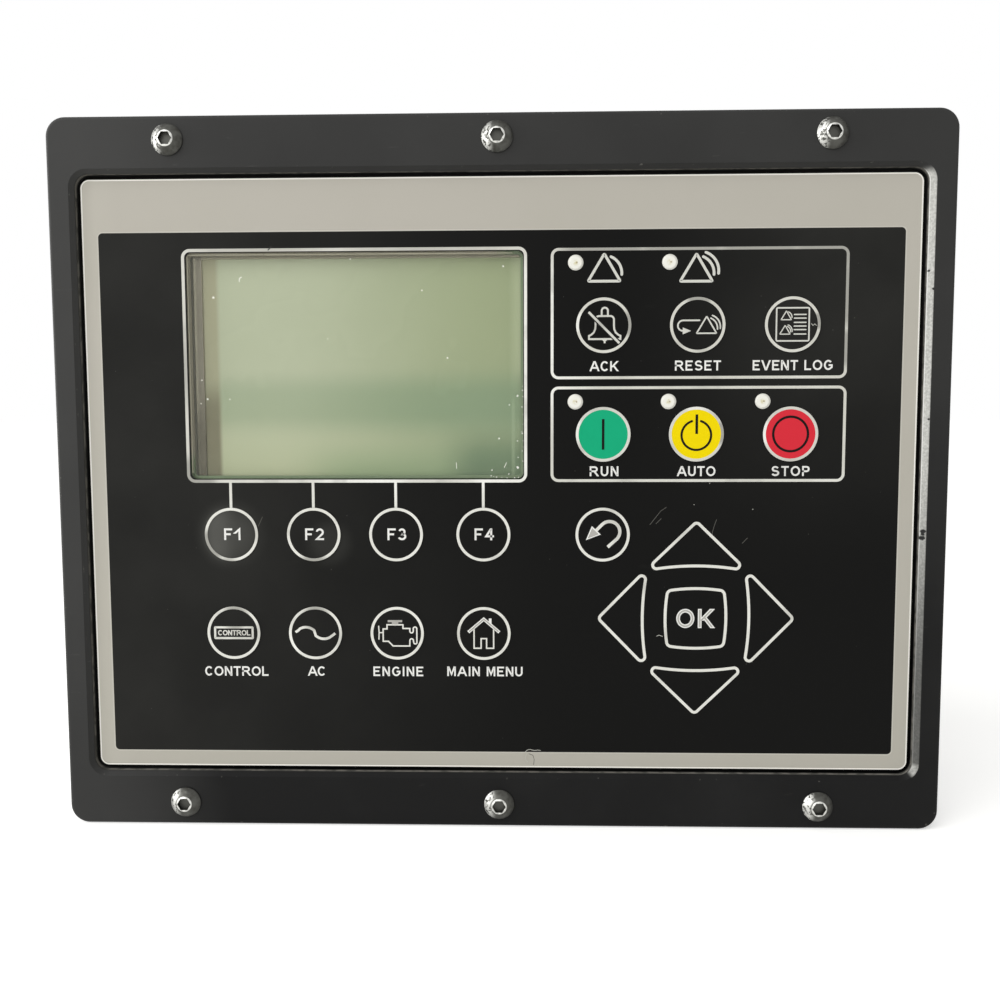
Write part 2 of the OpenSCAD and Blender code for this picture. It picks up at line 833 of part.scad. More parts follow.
// Cast rear cover: screw lip, drafted body, fins, connector openings and stud boss
module rear_cover() {
    depth = rear_y - cover_y;
    inner_depth = rear_inner_y - cover_y;
    inner_w = body_w - 2 * cover_wall;
    inner_h = body_h - 2 * cover_wall;
    inner_r = body_r - cover_wall;
    color("#9b9d9e") difference() {
        union() {
            difference() {
                union() {
                    span(cover_y, lip_y) rounded(box_w, box_h, box_r);
                    rise_back(cover_y) swept_block(body_w, body_h, body_r, depth)
                        edge_profile(body_r, depth, cover_edge, cover_draft);
                }
                rise_back(cover_y) swept_block(inner_w, inner_h, inner_r, inner_depth)
                    edge_profile(inner_r, inner_depth, cover_inner_edge, cover_draft);
                span(cover_y - eps, cover_y + eps) rounded(inner_w, inner_h, inner_r);
            }
            fins();
            span(main_rear_y, rear_inner_y + eps) dots(main_fix) circle(main_boss_r);
            span(header_boss_y, rear_inner_y + eps) dots(header_fix) circle(boss_r);
            translate([stud_x, 0, stud_z])
                span(stud_base_y - boss_floor, rear_y + stud_boss_h) circle(stud_boss_r);
        }
        span(rear_inner_y - eps, rear_y + eps) dots([[large_x, header_z]])
            square([cavity_in(large_cols), shroud_inner_h] + mouth_gaps, center = true);
        span(rear_inner_y - eps, rear_y + eps) dots([[small_x, header_z]])
            square([cavity_in(small_cols), shroud_inner_h] + mouth_gaps, center = true);
        span(cover_y - eps, lip_y + eps) dots(cover_fix) circle(cover_screw_d / 2 + cover_hole_gap);
        span(main_rear_y - eps, main_y + m3_l + hole_end) dots(main_fix)
            circle(m3_d / 2 + thread_gap);
        span(shroud_y - header_screw_l - hole_end, rear_y + eps) dots(header_fix)
            circle(m3_d / 2 + thread_gap);
        translate([stud_x, 0, stud_z]) span(stud_base_y, rear_y + stud_boss_h + eps)
            circle(stud_base_r + thread_gap);
    }
}

// Screw with a rounded head and a hexagon socket, head towards the front;
// below the head its neck is plain and as thin as a rolled thread's blank, then comes
// the thread with a chamfered end
module cap_screw(d, l, head, height, socket, neck = 0) {
    tip = d / 12;
    crown = height * crown_share;
    ball = (pow(head / 2, 2) + pow(crown, 2)) / (2 * crown);
    rise_front(0) difference() {
        intersection() {
            cylinder(d = head, h = height);
            translate([0, 0, height - ball]) sphere(ball, $fn = 96);
        }
        translate([0, 0, height * socket_floor]) cylinder(d = socket / cos(30), h = height, $fn = 6);
        translate([0, 0, height - socket_lead]) cylinder(d1 = socket, d2 = socket * lead_share, h = eps);
    }
    span(-bore_gap, neck + bore_gap) circle(d / 2 - neck_in);
    span(neck, l - tip) circle(d / 2);
    rise_front(l) cylinder(r1 = d / 2 - tip, r2 = d / 2, h = tip);
}

// Six button-head screws that fix the module to its panel
module mounting_screws() {
    color("#8d9094") at_each([for (x = screw_xs, z = screw_zs) [x, z]])
        translate([0, bezel_y, 0]) cap_screw(screw_d, screw_l, head_d, head_h, socket_af, -bezel_y);
}

// Screws round the lip of the rear cover, heads at the back
module cover_screws() {
    color("#8d9094") at_each(cover_fix) translate([0, lip_y, 0]) mirror([0, 1, 0])
        cap_screw(cover_screw_d, cover_screw_l, cover_head_d, cover_head_h, cover_socket);
}

// Small screws that hold the boards: key board, display board and main board
module board_screws() {
    color("#a7a9ab") {
        at_each(key_board_fix) translate([0, key_board_rear_y, 0]) mirror([0, 1, 0])
            cap_screw(m3_d, m3_l, m3_head_d, m3_head_h, m3_socket);
        at_each(lcd_fix) translate([0, lcd_board_rear_y, 0]) mirror([0, 1, 0])
            cap_screw(m3_d, m3_l, m3_head_d, m3_head_h, m3_socket);
        at_each(main_fix) translate([0, main_y, 0])
            cap_screw(m3_d, m3_l, m3_head_d, m3_head_h, m3_socket);
    }
}

// Main circuit board on the bosses of the rear cover
module main_board() {
    color("#25603a") span(main_y, main_rear_y) difference() {
        rounded(main_w, main_h, main_r);
        dots(main_fix) circle(m3_hole_d / 2);
    }
}

// Socket for a ribbon cable, standing on a board whose face is at the given depth
module ribbon_socket(face, step) {
    span(min(face, face + step * socket_h), max(face, face + step * socket_h))
        square([socket_w, socket_t], center = true);
}

// Ribbon sockets: two on the display and key boards, two opposite them on the main board
module board_sockets() {
    color("#202224") {
        translate([lcd_x, 0, ribbon_lcd_z]) ribbon_socket(lcd_board_rear_y, 1);
        translate([lcd_x, 0, ribbon_lcd_z + ribbon_step]) ribbon_socket(main_y, -1);
        translate([ribbon_key_x, 0, ribbon_key_z]) ribbon_socket(key_board_rear_y, 1);
        translate([ribbon_key_x, 0, ribbon_key_z + ribbon_step]) ribbon_socket(main_y, -1);
    }
}

// Points of an S-shaped ribbon edge from one socket to the other
function ribbon_edge(front, rear, off) = [for (k = [0:ribbon_n]) let (u = k / ribbon_n)
    [front + (rear - front) * u, ribbon_step * (3 - 2 * u) * u * u + off]];

// One flat ribbon that leaves both sockets at right angles
module ribbon(front) {
    rear = main_y - socket_h;
    rotate([90, 0, 90]) translate([0, 0, -ribbon_w / 2]) linear_extrude(ribbon_w)
        polygon(concat(ribbon_edge(front, rear, -ribbon_t / 2),
            [for (k = [ribbon_n:-1:0]) ribbon_edge(front, rear, ribbon_t / 2)[k]]));
}

// Flat ribbon cables from the display board and the key board to the main board
module ribbon_cables() {
    color("#8c8f92") {
        translate([lcd_x, 0, ribbon_lcd_z]) ribbon(lcd_board_rear_y + socket_h);
        translate([ribbon_key_x, 0, ribbon_key_z]) ribbon(key_board_rear_y + socket_h);
    }
}

// Solid that stands on the front face of the main board, a number of times in a line
module on_board(place, step, count, height) {
    for (k = [0:count - 1])
        translate([place[0] + k * step[0], 0, place[1] + k * step[1]])
        span(main_y - height, main_y) children();
}

// Processor, memory and driver chips
module processor_chips() {
    color("#1b1c1e") {
        on_board(chip_place, [0, 0], 1, chip_h) square(chip_w, center = true);
        on_board(memory_place, [0, -memory_pitch], memory_count, memory_h) square(memory_size, center = true);
        on_board(driver_place, [driver_pitch, 0], driver_count, driver_h) square(driver_size, center = true);
    }
}

// Output relays in a row along the top of the main board
module relays() {
    color("#d9d4c4") on_board(relay_place, [relay_pitch, 0], relay_count, relay_h)
        rounded(relay_w, relay_l, relay_r);
}

// Electrolytic capacitors with their crimped neck
module capacitors() {
    color("#3a4048") difference() {
        on_board(capacitor_place, [0, -capacitor_pitch], capacitor_count, capacitor_h)
            circle(capacitor_r);
        for (k = [0:capacitor_count - 1])
            translate([capacitor_place[0], 0, capacitor_place[1] - k * capacitor_pitch])
            rise_front(main_y - capacitor_neck) rotate_extrude()
                translate([capacitor_r + groove_out, 0]) circle(groove_r);
    }
}

// Power inductors with a square base and a round top
module inductors() {
    color("#4a4c50") {
        on_board(inductor_place, [0, -inductor_pitch], inductor_count, inductor_foot)
            square(inductor_w, center = true);
        on_board(inductor_place, [0, -inductor_pitch], inductor_count, inductor_h)
            circle(inductor_r);
    }
}

// Holder of the clock's back-up cell
module cell_holder() {
    color("#2a2c2e") translate(cell_place) difference() {
        span(main_y - cell_floor - cell_t + holder_rim, main_y) circle(cell_r + holder_wall);
        span(main_y - cell_floor - cell_t, main_y - cell_floor) circle(cell_r + bore_gap);
    }
}

// Back-up cell with its smaller negative cap
module backup_cell() {
    face = main_y - cell_floor;
    color("#b9bbbd") translate(cell_place) {
        span(face - cell_t + cell_cap_h, face) circle(cell_r);
        span(face - cell_t, face - cell_t + 2 * cell_cap_h) circle(cell_r - cell_cap_in);
    }
}

// Pin places of one connector: two banks on either side of the jackscrew
function pin_points(cols, rows) = [for (side = [-1, 1], c = [0:cols - 1], r = [0:rows - 1])
    [side * (bank_gap / 2 + c * pin_pitch), (r - (rows - 1) / 2) * pin_pitch]];

// Connector shell at the origin: flange, shroud and keying ribs round a through cavity
module header_shell(cols, ribs) {
    w = shroud_w(cols);
    flange_w = w + 2 * header_flange_w;
    flange_h = shroud_out_h + 2 * header_flange_w;
    color("#141516") difference() {
        union() {
            span(flange_y, shroud_y) rounded(flange_w, flange_h, shell_r);
            span(flange_y, mouth_y) rounded(w, shroud_out_h, shell_r);
            span(flange_y, mouth_y - rib_short) for (x = ribs, side = [-1, 1])
                translate([x, side * shroud_out_h / 2]) square(rib_size, center = true);
        }
        span(flange_y - eps, mouth_y + eps)
            rounded(cavity_in(cols), shroud_inner_h, shell_r - shroud_wall);
        span(flange_y - eps, mouth_y) dots(flange_corners(cols)) circle(m3_hole_d / 2);
    }
}

// Rubber seal under a connector's flange
module header_seal(cols) {
    border = header_flange_w - seal_in;
    span(rear_y, flange_y) difference() {
        rounded(shroud_w(cols) + 2 * border, shroud_out_h + 2 * border, shell_r - seal_in);
        rounded(cavity_in(cols) + 2 * seal_step, shroud_inner_h + 2 * seal_step, seal_step);
        dots(flange_corners(cols)) circle(m3_hole_d / 2 + seal_hole_gap);
    }
}

// Block that carries the contact pins and the jackscrew insert
module contact_block(cols, rows) {
    color("#3b3d40") difference() {
        span(main_rear_y, block_y)
            square([cavity_in(cols) - 2 * block_gap, shroud_inner_h - 2 * block_gap], center = true);
        span(main_rear_y - eps, block_y + eps) dots(pin_points(cols, rows))
            circle(pin_d / 2 + thread_gap);
        span(pin_y - jack_l - bore_gap, block_y + eps) circle(jack_r + thread_gap);
    }
}

// Contact pins from the main board into the shroud, with a rounded tip
module contact_pins(cols, rows) {
    color("#c9a34a") at_each(pin_points(cols, rows)) {
        span(main_rear_y, pin_y - pin_d / 2) circle(pin_d / 2, $fn = 16);
        translate([0, pin_y - pin_d / 2, 0]) sphere(pin_d / 2, $fn = 16);
    }
}

// Places a child at the large connector
module large_header() {
    translate([large_x, 0, header_z]) children();
}

// Places a child at the small connector
module small_header() {
    translate([small_x, 0, header_z]) children();
}

// Threaded inserts that take the jackscrews of the harness plugs
module jack_inserts() {
    color("#b8923e") for (x = [large_x, small_x]) translate([x, 0, header_z]) difference() {
        span(pin_y - jack_l, pin_y) circle(jack_r);
        span(pin_y - jack_depth, pin_y + eps) circle(jack_d / 2);
    }
}

// Seals under both connector flanges
module header_seals() {
    color("#7a3a2c") {
        large_header() header_seal(large_cols);
        small_header() header_seal(small_cols);
    }
}

// Screws at the corners of both connector flanges
module header_screws() {
    color("#a7a9ab") at_each(header_fix) translate([0, shroud_y, 0]) mirror([0, 1, 0])
        cap_screw(m3_d, header_screw_l, m3_head_d, m3_head_h, m3_socket);
}

// Ground stud: pressed base, hexagon and free thread
module ground_stud() {
    boss_y = rear_y + stud_boss_h;
    free_y = boss_y + stud_hex_h + stud_free;
    color("#c2a35a") translate([stud_x, 0, stud_z]) {
        span(stud_base_y + bore_gap, boss_y + bore_gap) circle(stud_base_r);
        span(boss_y, boss_y + stud_hex_h) circle(stud_hex_r, $fn = 6);
        span(boss_y + stud_hex_h - bore_gap, free_y - stud_tip) circle(stud_r);
        rise_front(free_y) cylinder(r1 = stud_r - stud_tip, r2 = stud_r, h = stud_tip);
    }
}

bezel_frame();
front_housing();
overlay();
display_pane();
display_gasket();
lcd_frame();
lcd_cell();
backlight();
lcd_board();
key_board();
key_switches();
light_pipes();
status_leds();
round_key(0);  // key_ack
round_key(1);  // key_reset
round_key(2);  // key_log
round_key(3);  // key_run
round_key(4);  // key_auto
round_key(5);  // key_stop
round_key(6);  // key_f1
round_key(7);  // key_f2
round_key(8);  // key_f3
round_key(9);  // key_f4
round_key(10);  // key_control
round_key(11);  // key_ac
round_key(12);  // key_engine
round_key(13);  // key_menu
round_key(14);  // key_back
arrow_key(0);  // key_up
arrow_key(1);  // key_left
arrow_key(2);  // key_down
arrow_key(3);  // key_right
middle_key();  // key_ok
cover_gasket();
rear_cover();
cover_screws();
main_board();
board_screws();
board_sockets();
ribbon_cables();
processor_chips();
relays();
capacitors();
inductors();
cell_holder();
backup_cell();
large_header() header_shell(large_cols, large_ribs);  // header_shell_large
small_header() header_shell(small_cols, small_ribs);  // header_shell_small
large_header() contact_block(large_cols, large_rows);  // contact_block_large
small_header() contact_block(small_cols, small_rows);  // contact_block_small
large_header() contact_pins(large_cols, large_rows);  // contact_pins_large
small_header() contact_pins(small_cols, small_rows);  // contact_pins_small
jack_inserts();
header_seals();
header_screws();
ground_stud();
mounting_screws();
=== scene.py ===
import json
import logging
import math
import random
from dataclasses import dataclass, field, replace
from enum import Enum
from functools import reduce
from typing import ClassVar, Iterable, Optional, Sequence, Union

import bmesh
import bpy
from mathutils import Euler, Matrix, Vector
from mathutils.geometry import tessellate_polygon


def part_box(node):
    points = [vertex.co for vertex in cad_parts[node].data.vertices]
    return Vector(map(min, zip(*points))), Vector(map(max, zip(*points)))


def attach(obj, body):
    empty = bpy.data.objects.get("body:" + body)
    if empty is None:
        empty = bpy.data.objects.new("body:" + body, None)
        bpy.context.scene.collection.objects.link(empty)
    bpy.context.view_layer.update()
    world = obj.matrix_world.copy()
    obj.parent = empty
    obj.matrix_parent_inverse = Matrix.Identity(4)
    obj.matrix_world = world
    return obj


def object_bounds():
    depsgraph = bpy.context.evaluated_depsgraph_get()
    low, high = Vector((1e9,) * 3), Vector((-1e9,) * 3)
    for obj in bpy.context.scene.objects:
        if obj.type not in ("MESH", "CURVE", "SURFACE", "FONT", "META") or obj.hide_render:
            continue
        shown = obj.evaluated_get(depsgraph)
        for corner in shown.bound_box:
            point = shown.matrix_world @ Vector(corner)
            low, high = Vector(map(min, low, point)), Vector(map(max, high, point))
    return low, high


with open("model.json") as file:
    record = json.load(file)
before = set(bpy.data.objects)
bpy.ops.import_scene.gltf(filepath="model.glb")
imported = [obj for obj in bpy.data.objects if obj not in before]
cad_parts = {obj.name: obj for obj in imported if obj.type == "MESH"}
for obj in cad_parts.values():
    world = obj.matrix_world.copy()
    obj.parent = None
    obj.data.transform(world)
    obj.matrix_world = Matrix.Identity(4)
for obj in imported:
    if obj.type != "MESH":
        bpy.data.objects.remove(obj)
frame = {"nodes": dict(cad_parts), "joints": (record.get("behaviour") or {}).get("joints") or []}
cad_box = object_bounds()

log = logging.getLogger("module")

MM = 0.001
BODY = "module"
SEEN = ("Camera", "Glossy", "Transmission")
Point = tuple[float, float]
Span = tuple[float, float]
Spot = tuple[Point, float]
Colour = tuple[float, float, float, float]
Number = Union[float, "Value"]
Input = Union[Number, Sequence[float], bpy.types.NodeSocket, bpy.types.Node]


def srgb(*screen: float) -> Colour:
    """Linear colour that looks like 0 to 255 screen values of red, green and blue."""
    linear = (((v / 255 + 0.055) / 1.055) ** 2.4 if v > 10 else v / 255 / 12.92 for v in screen)
    return (*linear, 1.0)


# Shader maths


@dataclass(frozen=True)
class Noise:
    """Soft cloudy pattern, with the length of one cloud in millimetres and a number of finer layers.

    It is as many times denser along Z as up says, and a seed gives another pattern. With a band, only
    what lies above the band's start shows, in full from its end on.
    """

    size: float
    detail: float
    up: float = 1.0
    seed: float = 0.0
    band: Optional[Span] = None


@dataclass(frozen=True)
class Value:
    """A number that varies over a surface, as a socket with arithmetic."""

    shader: "Shader"
    socket: bpy.types.NodeSocket

    def _math(self, operation: str, *numbers: Number) -> "Value":
        """Value of one Math node on the given numbers."""
        return self.shader.value("ShaderNodeMath", {"operation": operation}, dict(enumerate(numbers)))

    def __add__(self, other: Number) -> "Value":
        """Sum with a number or a value."""
        return self._math("ADD", self, other)

    def __radd__(self, other: float) -> "Value":
        """Sum with a number on the left."""
        return self._math("ADD", other, self)

    def __sub__(self, other: Number) -> "Value":
        """Difference from a number or a value."""
        return self._math("SUBTRACT", self, other)

    def __rsub__(self, other: float) -> "Value":
        """Difference of a number on the left and this value."""
        return self._math("SUBTRACT", other, self)

    def __mul__(self, other: Number) -> "Value":
        """Product with a number or a value."""
        return self._math("MULTIPLY", self, other)

    def __rmul__(self, other: float) -> "Value":
        """Product with a number on the left."""
        return self._math("MULTIPLY", other, self)

    def __pow__(self, power: float) -> "Value":
        """Power of this value."""
        return self._math("POWER", self, power)

    def __abs__(self) -> "Value":
        """Size without its sign."""
        return self._math("ABSOLUTE", self)

    def at_least(self, other: Number) -> "Value":
        """Larger of the two."""
        return self._math("MAXIMUM", self, other)

    def at_most(self, other: Number) -> "Value":
        """Smaller of the two."""
        return self._math("MINIMUM", self, other)

    def nearest(self, step: float) -> "Value":
        """Nearest whole multiple of a step."""
        return self._math("SNAP", self + step / 2, step)

    def sine(self) -> "Value":
        """Sine of this value in radians."""
        return self._math("SINE", self)

    def rise(self, low: float, high: float) -> "Value":
        """Smooth step that is 0 below low and 1 above high.

        Args:
            low: Where the step starts.
            high: Where the step ends. Below low, the step falls.

        Returns:
            The stepped value.
        """
        if low > high:
            return 1 - self.rise(high, low)
        inputs = {"Value": self, "From Min": low, "From Max": high}
        return self.shader.value("ShaderNodeMapRange", {"interpolation_type": "SMOOTHSTEP"}, inputs)


class Shader:
    """Node tree of one material or world, built from plain calls."""

    def __init__(self, tree: bpy.types.NodeTree) -> None:
        """Takes over a node tree and empties it."""
        self.tree = tree
        tree.nodes.clear()

    def node(self, kind: str, settings: dict, inputs: dict[Union[str, int], Input]) -> bpy.types.Node:
        """Adds one node.

        Args:
            kind: Blender's name of the node's type.
            settings: Properties of the node, which are set first.
            inputs: Numbers, colours, values, sockets or nodes by socket name or index.

        Returns:
            The node.
        """
        node = self.tree.nodes.new(kind)
        for key, setting in settings.items():
            setattr(node, key, setting)
        for key, given in inputs.items():
            if isinstance(given, bpy.types.Node):
                given = given.outputs[0]
            if isinstance(given, Value):
                given = given.socket
            if isinstance(given, bpy.types.NodeSocket):
                self.tree.links.new(given, node.inputs[key])
            else:
                node.inputs[key].default_value = given
        return node

    def value(self, kind: str, settings: dict, inputs: dict) -> Value:
        """Number that the first socket of one new node gives."""
        return Value(self, self.node(kind, settings, inputs).outputs[0])

    def spot(self) -> bpy.types.NodeSocket:
        """Position on the object in metres."""
        return self.node("ShaderNodeTexCoord", {}, {}).outputs["Object"]

    def place(self) -> tuple[Value, Value, Value]:
        """Position on the object in millimetres, along X, Y and Z."""
        axes = self.node("ShaderNodeSeparateXYZ", {}, {0: self.spot()}).outputs
        return tuple(Value(self, axis) * (1 / MM) for axis in axes)

    def noise(self, pattern: Noise) -> Value:
        """Noise from 0 to 1, with a middle of 0.5 where it has no band.

        Args:
            pattern: Its size, detail, density, seed and band.

        Returns:
            The noise.
        """
        inputs = {0: self.spot(), 1: (1, 1, pattern.up), 2: (pattern.seed,) * 3}
        scaled = self.node("ShaderNodeVectorMath", {"operation": "MULTIPLY_ADD"}, inputs)
        inputs = {"Vector": scaled, "Scale": 1 / (pattern.size * MM), "Detail": pattern.detail}
        noise = self.value("ShaderNodeTexNoise", {}, inputs)
        return noise.rise(*pattern.band) if pattern.band else noise

    def cells(self, size: float) -> Value:
        """Distance to the nearest of many points, scattered a size apart, as a share of it."""
        return self.value("ShaderNodeTexVoronoi", {}, {"Vector": self.spot(), "Scale": 1 / (size * MM)})

    def blend(self, share: Number, one: Input, other: Input) -> bpy.types.NodeSocket:
        """Colour between two, the first at a share of 0."""
        return self.node("ShaderNodeMix", {"data_type": "RGBA"}, {0: share, 6: one, 7: other}).outputs[2]

    def layers(self, base: Input, *coats: tuple[Number, Input]) -> Input:
        """Colour under several coats.

        Args:
            base: Colour of the ground.
            *coats: How much each coat covers and its colour, the lowest first.

        Returns:
            Socket of the mixed colour.
        """
        for share, colour in coats:
            base = self.blend(share, base, colour)
        return base

    def bump(self, height: Value, depth: float) -> bpy.types.Node:
        """Normal of a surface with a relief from 0 to 1, as deep as given in millimetres."""
        return self.node("ShaderNodeBump", {}, {"Height": height, "Distance": depth * MM})

    def mixed(self, share: Value, one: bpy.types.Node, other: bpy.types.Node) -> bpy.types.Node:
        """Shader between two, the first at a share of 0."""
        return self.node("ShaderNodeMixShader", {}, {0: share, 1: one, 2: other})

    def output(self, shader: bpy.types.Node) -> None:
        """Wires a shader to the material's output."""
        self.node("ShaderNodeOutputMaterial", {}, {"Surface": shader})

    def surface(self, base: Input, roughness: Number, **more: Input) -> None:
        """Wires a Principled shader to the output.

        Args:
            base: Colour of the surface.
            roughness: Roughness from 0 to 1.
            **more: Other sockets, with underscores for the spaces in their names.
        """
        inputs = {name.replace("_", " "): given for name, given in more.items()}
        inputs = {"Base Color": base, "Roughness": roughness, **inputs}
        self.output(self.node("ShaderNodeBsdfPrincipled", {}, inputs))

    def rays(self, *kinds: str) -> Value:
        """1 for rays of any of the given kinds."""
        sockets = self.node("ShaderNodeLightPath", {}, {}).outputs
        return reduce(Value.at_least, (Value(self, sockets[f"Is {kind} Ray"]) for kind in kinds))


def shifted(span: Span, by: float) -> Span:
    """Span moved by a distance."""
    return (span[0] + by, span[1] + by)


def length(across: Value, up: Value) -> Value:
    """Length of a line that reaches so far across and up."""
    return (across**2 + up**2) ** 0.5


def away(x: Value, z: Value, centre: Point) -> Value:
    """Distance from a place on the front."""
    return length(x - centre[0], z - centre[1])


def box_distance(x: Value, z: Value, centre: Point, size: Point, radius: float) -> Value:
    """Distance outside a rectangle with round corners, negative inside it.

    Args:
        x: Position across.
        z: Position up.
        centre: Middle of the rectangle.
        size: Its width and height.
        radius: Radius of its corners.

    Returns:
        The distance in the units of the inputs.
    """
    across = abs(x - centre[0]) - (size[0] / 2 - radius)
    up = abs(z - centre[1]) - (size[1] / 2 - radius)
    return length(across.at_least(0), up.at_least(0)) + across.at_least(up).at_most(0) - radius


def thread(shader: Shader, y: Value, pitch: float, start: float, grain: Value) -> bpy.types.Node:
    """Normal of a thread along Y from its start on, with some grain."""
    turns = (y * (2 * math.pi / pitch)).sine() * y.rise(start, start + 0.3)
    return shader.bump(turns * 0.5 + grain, pitch * 0.4)


# Finishes


@dataclass(frozen=True)
class Finish:
    """Named finish that makes its own material."""

    name: str

    def paint(self, shader: Shader) -> None:
        """Fills the material's node tree."""
        raise NotImplementedError

    def material(self) -> bpy.types.Material:
        """A new material with this finish.

        Returns:
            The material.
        """
        material = bpy.data.materials.new(self.name)
        material.use_nodes = True
        self.paint(Shader(material.node_tree))
        return material


@dataclass(frozen=True)
class PowderCoat(Finish):
    """Black powder coat with a painted sheen, lighter at the top and left, cloudy variation, scuffs and
    chipped edges, a painted glare and glint on the lip at the right, and painted light at the foot of the
    opening and round the window.
    """

    outline: Point
    opening: Point
    front: float
    black: Colour = srgb(21, 21, 21)
    # Painted sheen: the coat is painted lighter towards the top and the left, where the light falls, mixed
    # with cloudy variation.
    haze_and_sheen: Colour = srgb(78, 78, 77)
    window: Optional[tuple[Point, Point]] = None
    worn: Colour = srgb(150, 148, 142)
    # Painted glare on the lip at the right: a white ridge and a pale band stand in for a lamp's reflection in
    # the black coat; the pale band also paints the glint.
    bare_and_glare: Colour = srgb(250, 250, 246)
    slope_glare: Colour = srgb(208, 208, 203)
    # Painted light at the foot of the opening and along its lowest line, paler than the coat to cancel the
    # shade of the recess.
    foot: Colour = srgb(72, 72, 69)
    lowest: Colour = srgb(134, 131, 124)
    # Painted light round the display window: the black housing is painted pale there, greener at the right
    # and at the bottom, to cancel the shade of the recess.
    surround: Colour = srgb(176, 168, 152)
    green_surround: Colour = srgb(134, 150, 120)
    outline_r: float = 6.5
    opening_r: float = 6.2
    window_r: float = 2.0
    # Where the painted glare lies on the lip and how it fades lower down, then its white ridge and its
    # painted glint.
    glare_x: Span = (139.5, 142.5)
    glare_top: Span = (103.6, 100.6)
    glare_low: Span = (-101.0, -98.0)
    glare_band: Span = (0.35, 0.15)
    glare_fade: Span = (-75.0, 20.0)
    ridge: Span = (-1.3, -1.55)
    glint: Point = (143.9, -101.2)
    glint_r: Span = (3.0, 1.2)
    # Where the painted sheen grows, towards the top and towards the left.
    sheen_top: Span = (-110.0, 120.0)
    sheen_left: Span = (-85.0, -140.0)
    rim_in: float = 0.9
    rim_band: Span = (1.0, 0.2)
    lip_band: Span = (0.7, 0.1)
    chips_back: Span = (1.2, 0.4)
    glare_back: Span = (2.4, 1.8)
    # Where the painted light at the foot of the opening lies.
    foot_in: float = 0.6
    foot_band: Span = (2.4, 1.6)
    foot_back: Span = (-9.6, -9.0)
    foot_front: Span = (-7.0, -7.6)
    lowest_from: Span = (-9.0, -8.8)
    # Where the painted light round the window lies, and where it turns greener.
    window_band: Span = (0.6, 0.2)
    green_right: Span = (0.4, 0.47)
    green_low: Span = (-0.36, -0.44)
    cloud: Noise = Noise(55, 5, seed=1.7)
    chipping: Noise = Noise(2.2, 4, band=(0.66, 0.74))
    scuffs: Noise = Noise(9, 6, 6, 3.1, (0.68, 0.8))
    ragged: Noise = Noise(0.9, 2, seed=6.6)
    # Grain of the painted glare.
    glare_grain: Noise = Noise(0.8, 3, seed=9.2, band=(0.35, 0.7))
    broken: Noise = Noise(3.5, 3, seed=8.1, band=(0.38, 0.58))
    texture: Noise = Noise(0.7, 2)
    texture_depth: float = 0.012
    roughness: float = 0.42
    gloss: float = 0.12
    chips: tuple[Spot, ...] = (
        ((143.5, 69.2), 0.4), ((144.9, 63.2), 0.45), ((144.6, 20.0), 0.35), ((144.0, -18.0), 0.8),
        ((144.0, -18.9), 0.5), ((143.8, -20.2), 0.8), ((142.95, -20.5), 0.4),
    )

    def paint(self, shader: Shader) -> None:
        """Paints the coat with its painted sheen, the painted glare on the lip, and the painted light at the
        foot of the opening and round the window.

        Args:
            shader: Node tree of the new material.
        """
        x, y, z = shader.place()
        inside = box_distance(x, z, (0, 0), self.opening, self.opening_r)
        cloud = shader.noise(self.cloud)
        # Painted sheen, lighter at the top and at the left, plus cloudy variation.
        high, left = z.rise(*self.sheen_top), x.rise(*self.sheen_left)
        haze_and_sheen = high * 0.45 + left * (0.5 - high * 0.3) + (cloud - 0.5) * 0.35
        rim = box_distance(x, z, (0, 0), self.outline, self.outline_r) + self.rim_in
        chipped = abs(rim).rise(*self.rim_band).at_least(abs(inside).rise(*self.lip_band))
        chipped = chipped * shader.noise(self.chipping) * y.rise(*shifted(self.chips_back, self.front))
        scuffs = shader.noise(self.scuffs)

        # Painted glare on the lip at the right, pierced by chips, grainy and fading lower down, with a
        # painted glint at the lower corner.
        lip = inside.rise(*self.glare_band)
        near_front = y.rise(*shifted(self.glare_back, self.front))
        edge = lip * x.rise(*self.glare_x) * near_front * z.rise(*self.glare_top) * z.rise(*self.glare_low)
        ragged = shader.noise(self.ragged)
        for place, radius in self.chips:
            hole = away(x, z, place) + (ragged - 0.5) * radius
            edge = edge * hole.rise(radius * 0.7, radius * 1.2)
        fade = z.rise(*self.glare_fade) * 0.75 + 0.2
        glare_grain = shader.noise(self.glare_grain)
        glint = away(x, z, self.glint).rise(*self.glint_r) * lip * near_front

        # Painted light at the foot of the opening, where the recess lies in shade, broken along its lowest
        # line.
        foot = abs(inside + self.foot_in).rise(*self.foot_band)
        foot = foot * y.rise(*self.foot_back) * y.rise(*self.foot_front) * (1 - edge)
        broken = shader.noise(self.broken) * 0.75 + 0.25
        base = shader.layers(
            self.black,
            # Painted sheen and cloudy variation.
            (haze_and_sheen.at_least(0).at_most(1), self.haze_and_sheen),
            (chipped * 0.5 + scuffs * 0.08, self.worn),
            # Painted glare on the lip, its white ridge and its painted glint.
            (edge * fade * (0.7 + glare_grain * 0.3), self.slope_glare),
            (edge * fade * inside.rise(*self.ridge), self.bare_and_glare),
            (glint * (ragged * 0.9 + 0.1), self.slope_glare),
            # Painted light at the foot of the opening and along its lowest line.
            (foot, self.foot),
            (foot * y.rise(*self.lowest_from) * broken, self.lowest),
        )
        # Painted light round the display window, against the shade of the recess.
        if self.window:
            (middle_x, middle_z), (width, height) = self.window
            window = box_distance(x, z, *self.window, self.window_r).rise(*self.window_band)
            right = x.rise(*(middle_x + share * width for share in self.green_right))
            low = z.rise(*(middle_z + share * height for share in self.green_low))
            tint = shader.blend(right.at_least(low), self.surround, self.green_surround)
            base = shader.blend(window, base, tint)
        relief = shader.bump(shader.noise(self.texture), self.texture_depth)
        roughness = self.roughness + cloud * 0.12 - scuffs * 0.08
        shader.surface(base, roughness, Normal=relief, Specular_IOR_Level=self.gloss)


